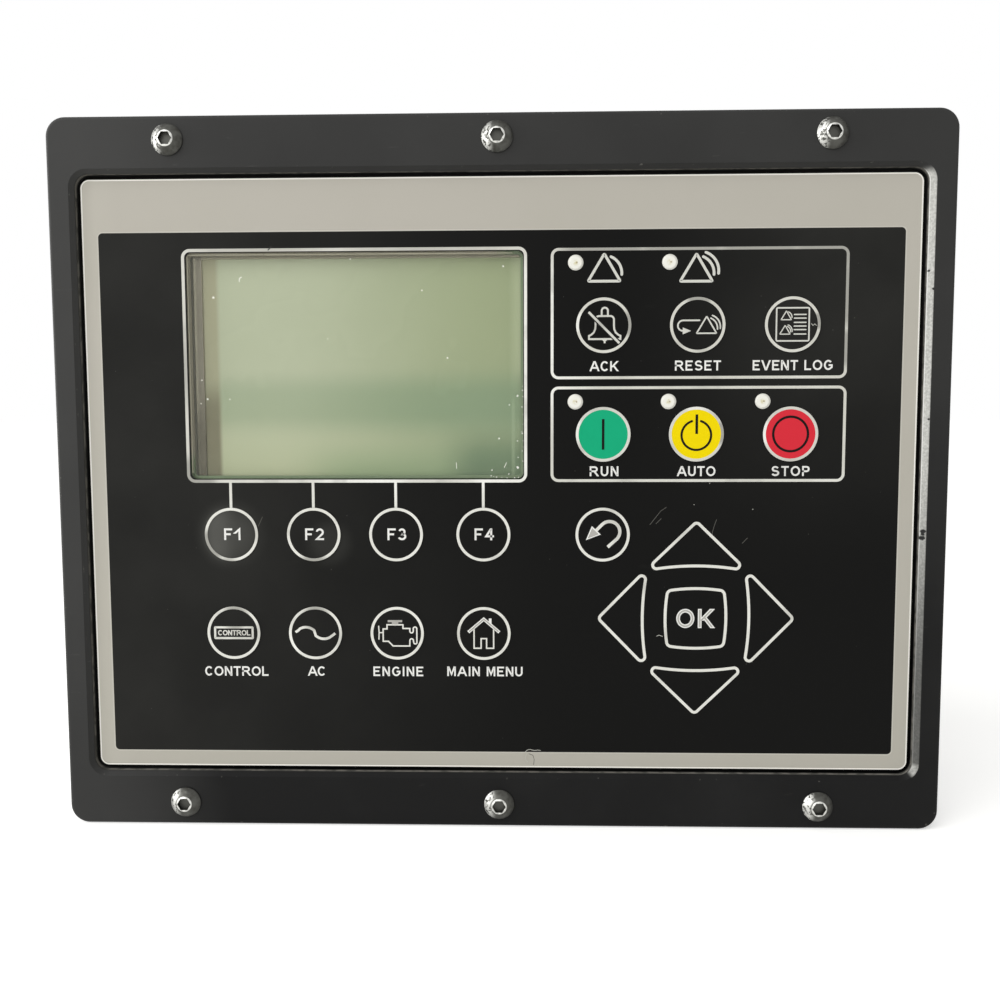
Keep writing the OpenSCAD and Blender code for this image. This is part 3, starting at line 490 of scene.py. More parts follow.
@dataclass(frozen=True)
class PrintedFilm(Finish):
    """Satin film with a grey border painted darker low down and lighter at the far left, a black field with a
    painted sheen, and a painted highlight along its outer edge.
    """

    film: Point
    field_centre: Point
    field_size: Point
    # The F1 key, round which the field has a painted sheen and a rubbed rim.
    sheen_centre: Point
    film_r: float = 3.0
    field_r: float = 1.5
    # How wide the painted highlight along the film's outer edge is.
    edge_highlight_band: Span = (-0.55, -0.35)
    # Where the border is painted darker low down and lighter at the far left.
    low_from: Span = (60.0, -110.0)
    left_from: Span = (-128.0, -140.0)
    # Where the painted sheen on the black field lies and how strong it gets.
    sheen_left: Span = (30.0, -130.0)
    sheen_right: Span = (40.0, 110.0)
    sheen_up: Span = (-40.0, 70.0)
    sheen_r: Span = (14.0, 2.0)
    beside: Point = (34.0, -3.0)
    beside_r: Span = (10.0, 3.0)
    rubbed_r: Span = (11.0, 7.0)
    haze_and_sheen_most: float = 1.9
    line_at: float = 0.2
    line_half: Span = (0.25, 0.15)
    cloud: Noise = Noise(35, 4, seed=2.3)
    streaks: Noise = Noise(14, 5, 5, 5.5, (0.66, 0.85))
    texture: Noise = Noise(0.35, 1)
    texture_depth: float = 0.003
    roughness: float = 0.36
    gloss: float = 0.09
    grey: Colour = srgb(192, 188, 178)
    cloudy: Colour = srgb(183, 180, 168)
    # Painted shade and light on the grey border: darker low down, lighter at the far left.
    low: Colour = srgb(170, 169, 156)
    left: Colour = srgb(212, 209, 197)
    # Painted highlight along the film's outer edge, and faintly just outside the field's border.
    edge_highlight: Colour = srgb(250, 248, 240)
    black: Colour = srgb(11, 11, 10)
    # Painted sheen on the black field, lighter at the left, at the upper right, round the F1 key and beside
    # it, with cloudy variation and streaks.
    haze_and_sheen: Colour = srgb(69, 69, 66)
    rubbed: Colour = srgb(96, 96, 92)

    def paint(self, shader: Shader) -> None:
        """Paints the border, and the cloudy black field with its painted sheen and the rubbed rim round the
        F1 key.

        Args:
            shader: Node tree of the new material.
        """
        x, _, z = shader.place()
        border = box_distance(x, z, self.field_centre, self.field_size, self.field_r)
        # Painted highlight along the film's outer edge and, faintly, just outside the field's border.
        edge = box_distance(x, z, (0, 0), self.film, self.film_r).rise(*self.edge_highlight_band)
        edge = edge.at_least(abs(border - self.line_at).rise(*self.line_half) * 0.2)
        cloud = shader.noise(self.cloud)
        streaks = shader.noise(self.streaks)
        grey = shader.layers(
            self.grey,
            (cloud.rise(0.3, 0.8) * 0.3, self.cloudy),
            # Painted shade low down and painted light at the far left of the border.
            (z.rise(*self.low_from) * 0.2, self.low),
            (x.rise(*self.left_from) * 0.3, self.left),
            # Painted highlight along the film's outer edge.
            (edge, self.edge_highlight),
        )
        # Painted sheen, lighter at the left and upper right, round the F1 key and beside it, with cloudy
        # variation and streaks; the rim round that key is rubbed by use.
        key_x, key_z = self.sheen_centre
        rubbed = away(x, z, self.sheen_centre)
        beside = away(x, z, (key_x + self.beside[0], key_z + self.beside[1]))
        haze_and_sheen = x.rise(*self.sheen_left) * 0.42
        haze_and_sheen = haze_and_sheen + x.rise(*self.sheen_right) * z.rise(*self.sheen_up) * 0.42
        haze_and_sheen = haze_and_sheen * (cloud.rise(0.2, 0.8) * 0.6 + 0.7) + streaks * 0.1
        haze_and_sheen = haze_and_sheen + rubbed.rise(*self.sheen_r) * (1.05 + x.rise(key_x, key_x - 6) * 0.9)
        haze_and_sheen = haze_and_sheen + beside.rise(*self.beside_r) * 0.5
        worn = rubbed.rise(*self.rubbed_r) * (0.12 + x.rise(key_x + 3, key_x - 7) * 0.68)
        black = shader.layers(
            self.black,
            (haze_and_sheen.at_most(self.haze_and_sheen_most) * 0.6, self.haze_and_sheen),
            (worn * cloud.rise(0.2, 0.7), self.rubbed),
        )
        base = shader.blend(border.rise(0.05, -0.05), grey, black)
        relief = shader.bump(shader.noise(self.texture), self.texture_depth)
        roughness = self.roughness + cloud * 0.12 + streaks * 0.05
        shader.surface(base, roughness, Normal=relief, Specular_IOR_Level=self.gloss)


@dataclass(frozen=True)
class ScreenInk(Finish):
    """Ink of one colour with a faint mottled relief."""

    colour: Colour
    mottle: ClassVar[Noise] = Noise(1.1, 3)
    relief: ClassVar[float] = 0.004
    roughness: ClassVar[float] = 0.38
    gloss: ClassVar[float] = 0.1

    def lay(self, shader: Shader, mottle: Value, base: Input) -> None:
        """Wires the ink's surface.

        Args:
            shader: Node tree of the new material.
            mottle: Mottling that lifts and dulls the ink.
            base: Colour of the surface.
        """
        relief = shader.bump(mottle, self.relief)
        shader.surface(base, self.roughness + mottle * 0.14, Normal=relief, Specular_IOR_Level=self.gloss)


@dataclass(frozen=True)
class Ink(ScreenInk):
    """Plain screen ink with rubbed spots."""

    rubbed: Colour = srgb(140, 139, 134)
    rub: float = 0.5
    rubs: Noise = Noise(16, 4, seed=4.2, band=(0.56, 0.76))

    def paint(self, shader: Shader) -> None:
        """Paints the ink and where it is rubbed.

        Args:
            shader: Node tree of the new material.
        """
        mottle = shader.noise(self.mottle)
        share = mottle.rise(0.5, 0.9) * 0.12 + shader.noise(self.rubs) * self.rub
        self.lay(shader, mottle, shader.blend(share, self.colour, self.rubbed))


@dataclass(frozen=True)
class SilverInk(ScreenInk):
    """Silver ink with painted reflections: brighter low on the film, with spots of painted highlight and of
    painted shade, and uneven patches.
    """

    # Spots of painted highlight and of painted shade, each a centre and a radius.
    highlight_spots: tuple[Spot, ...]
    shade_spots: tuple[Spot, ...]
    bright: Colour = srgb(254, 254, 248)
    dull: Colour = srgb(168, 167, 160)
    # Where the painted highlight low on the film begins.
    highlight_from: Span = (6.0, -10.0)
    patches: Noise = Noise(12, 3, seed=4.2)
    bright_band: Span = (0.5, 0.72)
    dull_band: Span = (0.46, 0.3)

    def paint(self, shader: Shader) -> None:
        """Paints the ink, its patches, its spots of painted highlight and painted shade, and the painted
        highlight low on the film.

        Args:
            shader: Node tree of the new material.
        """
        x, _, z = shader.place()
        # Spots of painted highlight and of painted shade, and a painted highlight low on the film.
        bright, dull = (
            [away(x, z, centre).rise(radius, radius * 0.5) for centre, radius in spots]
            for spots in (self.highlight_spots, self.shade_spots)
        )
        painted_highlight = reduce(Value.at_least, bright, z.rise(*self.highlight_from) * 0.55)
        mottle = shader.noise(self.mottle)
        patches = shader.noise(self.patches)
        cloudy = patches.rise(*self.dull_band) * 0.4
        base = shader.layers(
            self.colour,
            (painted_highlight * 0.75 + patches.rise(*self.bright_band) * 0.25, self.bright),
            ((reduce(Value.at_least, dull) * 0.95).at_least(cloudy), self.dull),
            (mottle.rise(0.5, 0.9) * 0.12, self.dull),
        )
        self.lay(shader, mottle, base)


@dataclass(frozen=True)
class ClearPane(Finish):
    """Clear plastic that lets lamps through and mirrors a little."""

    tint: Colour = (0.97, 0.985, 0.96, 1.0)
    index: float = 1.3
    roughness: float = 0.02
    smears: Noise = Noise(30, 4)

    def paint(self, shader: Shader) -> None:
        """Mixes glass with a plain filter for shadow and diffuse rays.

        Args:
            shader: Node tree of the new material.
        """
        inputs = {
            "Base Color": self.tint,
            "Roughness": self.roughness + shader.noise(self.smears) * 0.03,
            "Transmission Weight": 1.0,
            "IOR": self.index,
        }
        glass = shader.node("ShaderNodeBsdfPrincipled", {}, inputs)
        clear = shader.node("ShaderNodeBsdfTransparent", {}, {0: self.tint})
        shader.output(shader.mixed(shader.rays("Shadow", "Diffuse"), glass, clear))


@dataclass(frozen=True)
class DisplayFace(Finish):
    """Green-grey face of the unlit display, uneven from side to side, with a painted reflection that pales
    its left side and painted light along its right edge.
    """

    left: float
    right: float
    low: float
    high: float
    # Painted reflection: paler and greyer at the left, greener towards the right.
    grey: Colour = srgb(192, 196, 172)
    green: Colour = srgb(163, 171, 136)
    # Painted light along the right edge, against the shade of the window's step.
    rim: Colour = srgb(184, 191, 158)
    warm: Colour = srgb(192, 194, 154)
    band: Colour = srgb(134, 154, 124)
    deep: Colour = srgb(132, 160, 118)
    dim: Colour = srgb(132, 152, 124)
    patch: Colour = srgb(106, 127, 99)
    start: Colour = srgb(172, 166, 140)
    shade: Colour = srgb(112, 104, 84)
    line: Colour = srgb(176, 190, 162)
    cloudy: Colour = srgb(160, 168, 138)
    green_in: Span = (26.0, 14.0)
    # Where the painted light along the right edge lies.
    right_fill_x: Span = (-15.6, -11.4)
    warm_up: Span = (0.5, 0.0)
    band_up: float = 0.385
    band_half: Span = (0.15, 0.03)
    deep_x: Span = (32.0, 58.0)
    deep_up: Span = (0.26, 0.1)
    dim_up: Span = (0.62, 0.3)
    patch_x: Span = (-42.0, -24.0)
    patch_up: Span = (0.34, 0.14)
    start_x: Span = (12.0, 9.8)
    shade_up: Span = (0.5, 0.36)
    line_in: float = 13.6
    line_half: Span = (0.9, 0.2)
    line_up: Span = (0.44, 0.36)
    cloud: Noise = Noise(45, 3)
    cloudy_band: Span = (0.4, 0.8)
    roughness: float = 0.22
    gloss: float = 0.2

    def up(self, share: float) -> float:
        """Place at a share of the height."""
        return self.low + share * (self.high - self.low)

    def paint(self, shader: Shader) -> None:
        """Paints the uneven tints of the face, its painted reflection and the painted light along its right
        edge, the weakest last.

        Args:
            shader: Node tree of the new material.
        """
        x, _, z = shader.place()
        # Painted reflection, paler at the left and greener across to the right.
        across = x.rise(self.left + self.green_in[0], self.right - self.green_in[1])
        band = abs(z - self.up(self.band_up))
        band = band.rise(*(share * (self.high - self.low) for share in self.band_half))
        deep = z.rise(*map(self.up, self.deep_up)) * x.rise(*shifted(self.deep_x, self.left))
        patch = x.rise(*shifted(self.patch_x, self.right)) * z.rise(*map(self.up, self.patch_up))
        start = x.rise(*shifted(self.start_x, self.left))
        line = abs(x - (self.right - self.line_in)).rise(*self.line_half)
        line = line * z.rise(*map(self.up, self.line_up))
        cloud = shader.noise(self.cloud)
        base = shader.layers(
            self.grey,
            # Painted reflection from left to right, then painted light along the right edge.
            (across, self.green),
            (x.rise(*shifted(self.right_fill_x, self.right)), self.rim),
            (z.rise(*map(self.up, self.warm_up)) * 0.5, self.warm),
            (band * (0.42 + across * 0.35), self.band),
            (deep * 0.5, self.deep),
            (across * z.rise(*map(self.up, self.dim_up)) * 0.45, self.dim),
            (patch * 0.9, self.patch),
            (start * 0.85, self.start),
            (start * z.rise(*map(self.up, self.shade_up)) * 0.75, self.shade),
            (line * 0.35, self.line),
            (cloud.rise(*self.cloudy_band) * 0.2, self.cloudy),
        )
        shader.surface(base, self.roughness + cloud * 0.1, Specular_IOR_Level=self.gloss)


@dataclass(frozen=True)
class ScrewSteel(Finish):
    """Dark screws with a painted highlight round the socket and on the left side of the head, and a thread.
    """

    columns: float
    rows: float
    dark: Colour = srgb(88, 88, 84)
    stain: Colour = srgb(56, 55, 51)
    deep: Colour = srgb(84, 84, 80)
    # Painted highlight round the socket and on the left side of the head.
    bright: Colour = srgb(222, 222, 217)
    pitch: float = 1.0
    thread_from: float = 0.4
    socket: float = 2.0
    # Where the painted highlights lie, round the socket and on the left side of the head.
    rim_r: Span = (2.8, 2.6)
    flank_r: Span = (2.7, 3.3)
    flank_x: Span = (-0.9, -3.6)
    slant: Point = (0.866, 0.5)
    marks: Noise = Noise(0.9, 3, seed=2.9)
    rim_marks: Span = (0.35, 0.6)
    flank_marks: Span = (0.38, 0.5)
    cloud: Noise = Noise(2.2, 5, seed=6.4)
    stain_band: Span = (0.35, 0.7)
    roughness: float = 0.42

    def paint(self, shader: Shader) -> None:
        """Paints the heads round their six-sided sockets and cuts the thread.

        Args:
            shader: Node tree of the new material.
        """
        x, y, z = shader.place()
        across = x - x.nearest(self.columns)
        up = abs(z) - self.rows
        radius = length(across, up)
        flats = (abs(across) * self.slant[0] + abs(up) * self.slant[1]).at_least(abs(up))
        head = y.rise(self.thread_from, self.thread_from - 1)
        marks = shader.noise(self.marks)
        cloud = shader.noise(self.cloud)
        # Painted highlight round the socket's edge and on the left side of the head, broken by marks.
        ring = flats.rise(self.socket, self.socket + 0.12) * radius.rise(*self.rim_r)
        ring = ring * (0.55 + marks.rise(*self.rim_marks) * 0.45)
        flank_highlight = radius.rise(*self.flank_r) * across.rise(*self.flank_x) * marks.rise(*self.flank_marks)
        base = shader.layers(
            self.dark,
            (cloud.rise(*self.stain_band) * 0.7, self.stain),
            (flats.rise(self.socket + 0.05, self.socket - 0.05) * head, self.deep),
            (ring.at_least(flank_highlight * 0.85) * head, self.bright),
        )
        relief = thread(shader, y, self.pitch, self.thread_from, marks * 0.06)
        roughness = self.roughness - ring * 0.1 + cloud * 0.1
        shader.surface(base, roughness, Metallic=1.0, Normal=relief)


@dataclass(frozen=True)
class Metal(Finish):
    """Bare metal with grain, tarnish and, on screws, a thread along Y."""

    colour: Colour
    tarnish: Colour
    roughness: float
    grain: float
    grain_depth: float
    stain: float = 0.4
    pitch: float = 0.0
    thread_from: float = 0.0
    grain_detail: float = 3.0
    cloud: Noise = Noise(9, 5, seed=6.4)
    tarnish_band: Span = (0.42, 0.8)

    def paint(self, shader: Shader) -> None:
        """Paints the tarnish and gives the metal its relief.

        Args:
            shader: Node tree of the new material.
        """
        cloud = shader.noise(self.cloud)
        grain = shader.noise(Noise(self.grain, self.grain_detail))
        base = shader.blend(cloud.rise(*self.tarnish_band) * self.stain, self.colour, self.tarnish)
        relief = shader.bump(grain, self.grain_depth)
        if self.pitch:
            relief = thread(shader, shader.place()[1], self.pitch, self.thread_from, grain * 0.1)
        shader.surface(base, self.roughness - 0.08 + cloud * 0.16, Metallic=1.0, Normal=relief)


@dataclass(frozen=True)
class StripSteel(Finish):
    """Steel round the display, with painted light where the housing shades it and at its opening's edge, and
    darker low down.
    """

    strip: float
    dull_z: Span
    # Where the painted light lies: in the housing's shade and at the opening's edge.
    fill_light_in: Span = (-1.6, -3.2)
    edge_fill_in: Span = (-0.12, -0.02)
    steel: Colour = srgb(113, 108, 97)
    # Painted light: paler where the housing shades the strip, and at the opening's edge.
    fill_light: Colour = srgb(176, 170, 152)
    edge: Colour = srgb(146, 141, 124)
    dull: Colour = srgb(84, 80, 68)
    grain: Noise = Noise(0.8, 3)
    grain_depth: float = 0.01
    roughness: float = 0.4

    def paint(self, shader: Shader) -> None:
        """Paints the painted light on the strip at the left and at the opening's edge, and the darker part
        below.

        Args:
            shader: Node tree of the new material.
        """
        x, _, z = shader.place()
        inside = x - self.strip
        grain = shader.noise(self.grain)
        base = shader.layers(
            self.steel,
            # Painted light where the housing shades the strip and at the opening's edge.
            (inside.rise(*self.fill_light_in), self.fill_light),
            (inside.rise(*self.edge_fill_in), self.edge),
            (z.rise(*self.dull_z) * 0.7, self.dull),
        )
        relief = shader.bump(grain, self.grain_depth)
        shader.surface(base, self.roughness + grain * 0.1, Metallic=1.0, Normal=relief)


@dataclass(frozen=True)
class Moulded(Finish):
    """Moulded plastic or rubber with a fine texture."""

    colour: Colour
    roughness: float = 0.5
    texture: float = 0.6
    depth: float = 0.01
    variation: float = 0.25
    texture_detail: float = 2.0
    cloud: Noise = Noise(22, 4, seed=8.8)
    paler_band: Span = (0.4, 0.8)
    gloss: float = 0.4

    def paint(self, shader: Shader) -> None:
        """Paints the plastic a little paler in places.

        Args:
            shader: Node tree of the new material.
        """
        cloud = shader.noise(self.cloud)
        paler = (*(min(1.0, c * 1.5 + 0.01) for c in self.colour[:3]), 1.0)
        base = shader.blend(cloud.rise(*self.paler_band) * self.variation, self.colour, paler)
        relief = shader.bump(shader.noise(Noise(self.texture, self.texture_detail)), self.depth)
        roughness = self.roughness - 0.06 + cloud * 0.12
        shader.surface(base, roughness, Normal=relief, Specular_IOR_Level=self.gloss)


@dataclass(frozen=True)
class Laminate(Finish):
    """Circuit board with solder mask over tracks and small pads."""

    mask: Colour = srgb(28, 84, 52)
    track: Colour = srgb(60, 128, 82)
    pad: Colour = srgb(196, 192, 170)
    tracks_per_mm: float = 2.1
    wander: float = 24.0
    track_band: Span = (0.55, 0.75)
    row_bends: Noise = Noise(40, 1)
    column_bends: Noise = Noise(40, 1, seed=3.3)
    turns: Noise = Noise(18, 1, seed=7.1, band=(0.48, 0.52))
    pad_pitch: float = 5.5
    pad_r: Span = (0.16, 0.12)
    relief: float = 0.03
    roughness: float = 0.36
    gloss: float = 0.5

    def tracks(self, place: Value, bends: Value) -> Value:
        """Wandering tracks across one direction."""
        return (place * self.tracks_per_mm + bends * self.wander).sine().rise(*self.track_band)

    def paint(self, shader: Shader) -> None:
        """Paints the tracks in patches along and across, and the pads.

        Args:
            shader: Node tree of the new material.
        """
        x, _, z = shader.place()
        rows = self.tracks(z, shader.noise(self.row_bends))
        columns = self.tracks(x, shader.noise(self.column_bends))
        share = shader.noise(self.turns)
        tracks = rows * share + columns * (1 - share)
        pads = shader.cells(self.pad_pitch).rise(*self.pad_r)
        base = shader.layers(self.mask, (tracks * 0.8, self.track), (pads, self.pad))
        relief = shader.bump(tracks, self.relief)
        roughness = self.roughness + pads * 0.1
        shader.surface(base, roughness, Normal=relief, Specular_IOR_Level=self.gloss)


@dataclass(frozen=True)
class Milky(Finish):
    """Milky lens of an indicator light, with a dim yellow core."""

    centres: tuple[Point, ...]
    milk: Colour = srgb(250, 249, 240)
    core: Colour = srgb(214, 206, 152)
    dot: Colour = srgb(150, 124, 80)
    rim: Colour = srgb(196, 194, 186)
    dot_x: float = 0.4
    core_r: Span = (1.3, 0.3)
    dot_r: Span = (0.42, 0.15)
    rim_r: Span = (1.9, 2.6)
    flare: Noise = Noise(0.9, 2, band=(0.3, 0.6))
    dome: float = 0.25
    roughness: float = 0.3
    gloss: float = 0.4

    def paint(self, shader: Shader) -> None:
        """Paints each lens round its centre.

        Args:
            shader: Node tree of the new material.
        """
        x, _, z = shader.place()
        lens = reduce(Value.at_most, [away(x, z, centre) for centre in self.centres])
        dot = reduce(Value.at_most, [away(x - self.dot_x, z, centre) for centre in self.centres])
        core = lens.rise(*self.core_r) * shader.noise(self.flare)
        rim = lens.rise(*self.rim_r)
        base = shader.layers(
            self.milk,
            (core * 0.7, self.core),
            (dot.rise(*self.dot_r) * 0.7, self.dot),
            (rim * 0.5, self.rim),
        )
        relief = shader.bump(1 - rim, self.dome)
        shader.surface(base, self.roughness + rim * 0.1, Normal=relief, Specular_IOR_Level=self.gloss)


@dataclass(frozen=True)
class Paper(Finish):
    """Pale floor that glows for what the camera, gloss and glass see, and keeps its shadow."""

    colour: Colour = srgb(240, 240, 238)
    glow: float = 0.48

    def paint(self, shader: Shader) -> None:
        """Adds the glow to the paper.

        Args:
            shader: Node tree of the new material.
        """
        paper = shader.node("ShaderNodeBsdfDiffuse", {}, {"Color": self.colour})
        glow = shader.node("ShaderNodeEmission", {}, {"Strength": self.glow})
        lit = shader.node("ShaderNodeAddShader", {}, {0: paper, 1: glow})
        shader.output(shader.mixed(shader.rays(*SEEN), paper, lit))


def dress(finish: Finish, *nodes: str) -> None:
    """Gives CAD nodes a finish.

    Args:
        finish: The finish.
        *nodes: Names of the nodes.
    """
    material = finish.material()
    for name in nodes:
        for slot in frame["nodes"][name].material_slots:
            slot.material = material
        log.info("dressed %s in %s", name, material.name)


def linked(name: str, data: bpy.types.ID) -> bpy.types.Object:
    """Puts a new object into the scene.

    Args:
        name: Name of the object.
        data: Its mesh, lamp or camera.

    Returns:
        The object.
    """
    thing = bpy.data.objects.new(name, data)
    bpy.context.scene.collection.objects.link(thing)
    return thing


def shaped(name: str, mesh: bmesh.types.BMesh, finish: Finish) -> bpy.types.Object:
    """Makes an object of faces.

    Args:
        name: Name of the object.
        mesh: Its faces, which are used up.
        finish: Its finish.

    Returns:
        The object.
    """
    data = bpy.data.meshes.new(name)
    mesh.to_mesh(data)
    mesh.free()
    data.materials.append(finish.material())
    log.info("built %s with %d faces", name, len(data.polygons))
    return linked(name, data)


# Outlines on the panel, in millimetres across and up


def arc(centre: Point, radius: float, start: float, end: float, steps: int) -> list[Point]:
    """Points along an arc between two angles in degrees, anticlockwise from the right."""
    angles = [math.radians(start + (end - start) * k / steps) for k in range(steps + 1)]
    return [(centre[0] + radius * math.cos(a), centre[1] + radius * math.sin(a)) for a in angles]


def circle(centre: Point, radius: float, steps: int = 72) -> list[Point]:
    """Points round a circle, the first not repeated."""
    return arc(centre, radius, 0, 360, steps)[:-1]


def rounded(centre: Point, width: float, height: float, radius: float, steps: int = 8) -> list[Point]:
    """Points round a rectangle with round corners.

    Args:
        centre: Middle of the rectangle.
        width: Its width.
        height: Its height.
        radius: Radius of its corners.
        steps: Stretches in each corner.

    Returns:
        The points, anticlockwise.
    """
    across, up = width / 2 - radius, height / 2 - radius
    corners = [(across, up, 0), (-across, up, 90), (-across, -up, 180), (across, -up, 270)]
    return [p for x, y, a in corners for p in arc((centre[0] + x, centre[1] + y), radius, a, a + 90, steps)]


def turned(points: Iterable[Point], quarter_turns: int) -> list[Point]:
    """Points turned about the origin by quarter turns, anticlockwise."""
    turns = [lambda p: p, lambda p: (-p[1], p[0]), lambda p: (-p[0], -p[1]), lambda p: (p[1], -p[0])]
    return [turns[quarter_turns](p) for p in points]


def moved(points: Iterable[Point], by: Point, scale: float = 1.0) -> list[Point]:
    """Points scaled about the origin and then moved."""
    return [(p[0] * scale + by[0], p[1] * scale + by[1]) for p in points]


def mirrored(points: Sequence[Point]) -> list[Point]:
    """Points at the right, then the same at the left, back to the start."""
    return [*points, *((-x, y) for x, y in reversed(points))]


def mitres(points: Sequence[Point], closed: bool, least: float = 0.45) -> list[Vector]:
    """Sideways direction at each point of a line, longer at a bend.

    Args:
        points: The line.
        closed: True if it ends where it starts.
        least: Share of the width that the sharpest bend is worked out with.

    Returns:
        One vector for each point, to the left of the line.
    """
    count = len(points)
    sides = []
    for k in range(count):
        here = Vector(points[k])
        before = Vector(points[k - 1]) if k or closed else None
        after = Vector(points[(k + 1) % count]) if k < count - 1 or closed else None
        one = (here - before).normalized() if before is not None else (after - here).normalized()
        two = (after - here).normalized() if after is not None else one
        middle = (one + two).normalized() if (one + two).length > 1e-6 else one
        across = Vector((-middle.y, middle.x))
        sides.append(across / max(least, abs(across.dot(Vector((-one.y, one.x))))))
    return sides


def soften(points: Sequence[Point], radius: float, steps: int = 4) -> list[Point]:
    """Closed outline with its corners rounded.

    Args:
        points: The corners.
        radius: Distance from a corner at which the rounding starts.
        steps: Stretches in each rounding.

    Returns:
        The points.
    """
    result = []
    for k, point in enumerate(points):
        here, before, after = Vector(point), Vector(points[k - 1]), Vector(points[(k + 1) % len(points)])
        start = here + (before - here).normalized() * radius
        end = here + (after - here).normalized() * radius
        for t in (step / steps for step in range(steps + 1)):
            place = start * (1 - t) ** 2 + here * 2 * t * (1 - t) + end * t**2
            result.append((place.x, place.y))
    return result


def bow(first: Point, middle: Point, last: Point, steps: int = 10) -> list[Point]:
    """Points along the arc through three points.

    Args:
        first: Where the arc starts.
        middle: A point on its way.
        last: Where it ends.
        steps: Number of stretches.

    Returns:
        The points, both ends included.
    """
    (ax, ay), (bx, by), (cx, cy) = first, middle, last
    d = 2 * (ax * (by - cy) + bx * (cy - ay) + cx * (ay - by))
    squares = (ax * ax + ay * ay, bx * bx + by * by, cx * cx + cy * cy)
    ux = (squares[0] * (by - cy) + squares[1] * (cy - ay) + squares[2] * (ay - by)) / d
    uy = (squares[0] * (cx - bx) + squares[1] * (ax - cx) + squares[2] * (bx - ax)) / d
    angles = [math.degrees(math.atan2(y - uy, x - ux)) for x, y in (first, middle, last)]
    turn = (angles[2] - angles[0]) % 360
    if (angles[1] - angles[0]) % 360 > turn:
        turn -= 360
    return arc((ux, uy), math.hypot(ax - ux, ay - uy), angles[0], angles[0] + turn, steps)


# Ink marks


class Ends(Enum):
    """How a line ends."""

    ROUND = "round"
    FLAT = "flat"
    LEVEL = "level"
    JOINED = "joined to its start"


@dataclass(frozen=True)
class Mark:
    """A line of even width or, where the width is 0, a filled outline.

    The step lifts overlapping marks apart. Where it is 0, it is the mark's place in its print.
    """

    points: Sequence[Point]
    width: float = 0.0
    ends: Ends = Ends.ROUND
    step: int = 0

    def moved(self, by: Point, scale: float = 1.0) -> "Mark":
        """The mark scaled about the origin and then moved."""
        return replace(self, points=moved(self.points, by, scale))


def ring(centre: Point, radius: float, width: float) -> Mark:
    """Circle whose outer edge has the given radius."""
    return Mark(circle(centre, radius - width / 2), width, Ends.JOINED)


# Letters: width as a share of the height, and strokes of points (across, up) and of arcs
# (centre across, centre up, radius across, radius up, first angle, last angle)
Stroke = tuple[tuple[float, ...], ...]
BOWL = (0.5, 0.5, 0.5, 0.5)
GLYPHS: dict[str, tuple[float, tuple[Stroke, ...]]] = {
    "A": (0.94, (((0, 0), (0.44, 1), (0.56, 1), (1, 0)), ((0.2, 0.3), (0.8, 0.3)))),
    "C": (0.83, ((BOWL + (40, 320),),)),
    "E": (0.71, (((1, 1), (0, 1), (0, 0), (1, 0)), ((0, 0.52), (0.95, 0.52)))),
    "F": (0.7, (((1, 1), (0, 1), (0, 0)), ((0, 0.5), (0.9, 0.5)))),
    "G": (0.86, ((BOWL + (42, 318), (1, 0.24), (1, 0.48), (0.56, 0.48)),)),
    "I": (0.2, (((0.5, 0), (0.5, 1)),)),
    "K": (0.86, (((0, 0), (0, 1)), ((0.83, 1), (0.1, 0.36)), ((0.36, 0.56), (0.89, 0)))),
    "L": (0.66, (((0, 1), (0, 0), (1, 0)),)),
    "M": (0.88, (((0, 0), (0, 1), (0.12, 1), (0.5, 0.12), (0.88, 1), (1, 1), (1, 0)),)),
    "N": (0.77, (((0, 0), (0, 1), (0.1, 1), (0.9, 0), (1, 0), (1, 1)),)),
    "O": (0.93, ((BOWL + (0, 360),),)),
    "P": (0.74, (((0, 0), (0, 1), (0.6, 1), (0.6, 0.735, 0.4, 0.265, 80, -90), (0, 0.47)),)),
    "R": (
        0.86,
        (((0, 0), (0, 1), (0.56, 1), (0.56, 0.75, 0.36, 0.25, 80, -90), (0, 0.5)), ((0.55, 0.5), (1, 0))),
    ),
    "S": (0.78, (((0.5, 0.755, 0.44, 0.245, 22, 240), (0.5, 0.255, 0.5, 0.255, 60, -160)),)),
    "T": (0.74, (((0, 1), (1, 1)), ((0.5, 1), (0.5, 0)))),
    "U": (0.76, (((0, 1), (0.5, 0.36, 0.5, 0.36, 180, 360), (1, 1)),)),
    "V": (0.88, (((0, 1), (0.44, 0), (0.56, 0), (1, 1)),)),
    "1": (0.5, (((1, 0), (1, 1), (0, 0.66)),)),
    "2": (0.7, (((0.5, 0.7, 0.48, 0.3, 168, -34), (0, 0), (1, 0)),)),
    "3": (0.7, (((0.46, 0.755, 0.42, 0.245, 160, -80), (0.47, 0.27, 0.52, 0.27, 80, -160)),)),
    "4": (0.74, (((0.74, 0), (0.74, 1), (0.66, 1), (0, 0.3), (1, 0.3)),)),
}
SPACE = 2.8
LEVEL_FROM = 0.3
BOTH_ENDS = ((0, 1), (-1, -2))


def glyph_points(stroke: Stroke) -> list[Point]:
    """Writes out the arcs of one stroke of a letter.

    Args:
        stroke: Its points and arcs.

    Returns:
        Its points.
    """
    points: list[Point] = []
    for part in stroke:
        if len(part) == 2:
            points.append((part[0], part[1]))
            continue
        x, y, across, up, start, end = part
        steps = max(6, round(abs(end - start) / 12))
        angles = [math.radians(start + (end - start) * k / steps) for k in range(steps + 1)]
        points += [(round(x + across * math.cos(a), 6), round(y + up * math.sin(a), 6)) for a in angles]
    return points


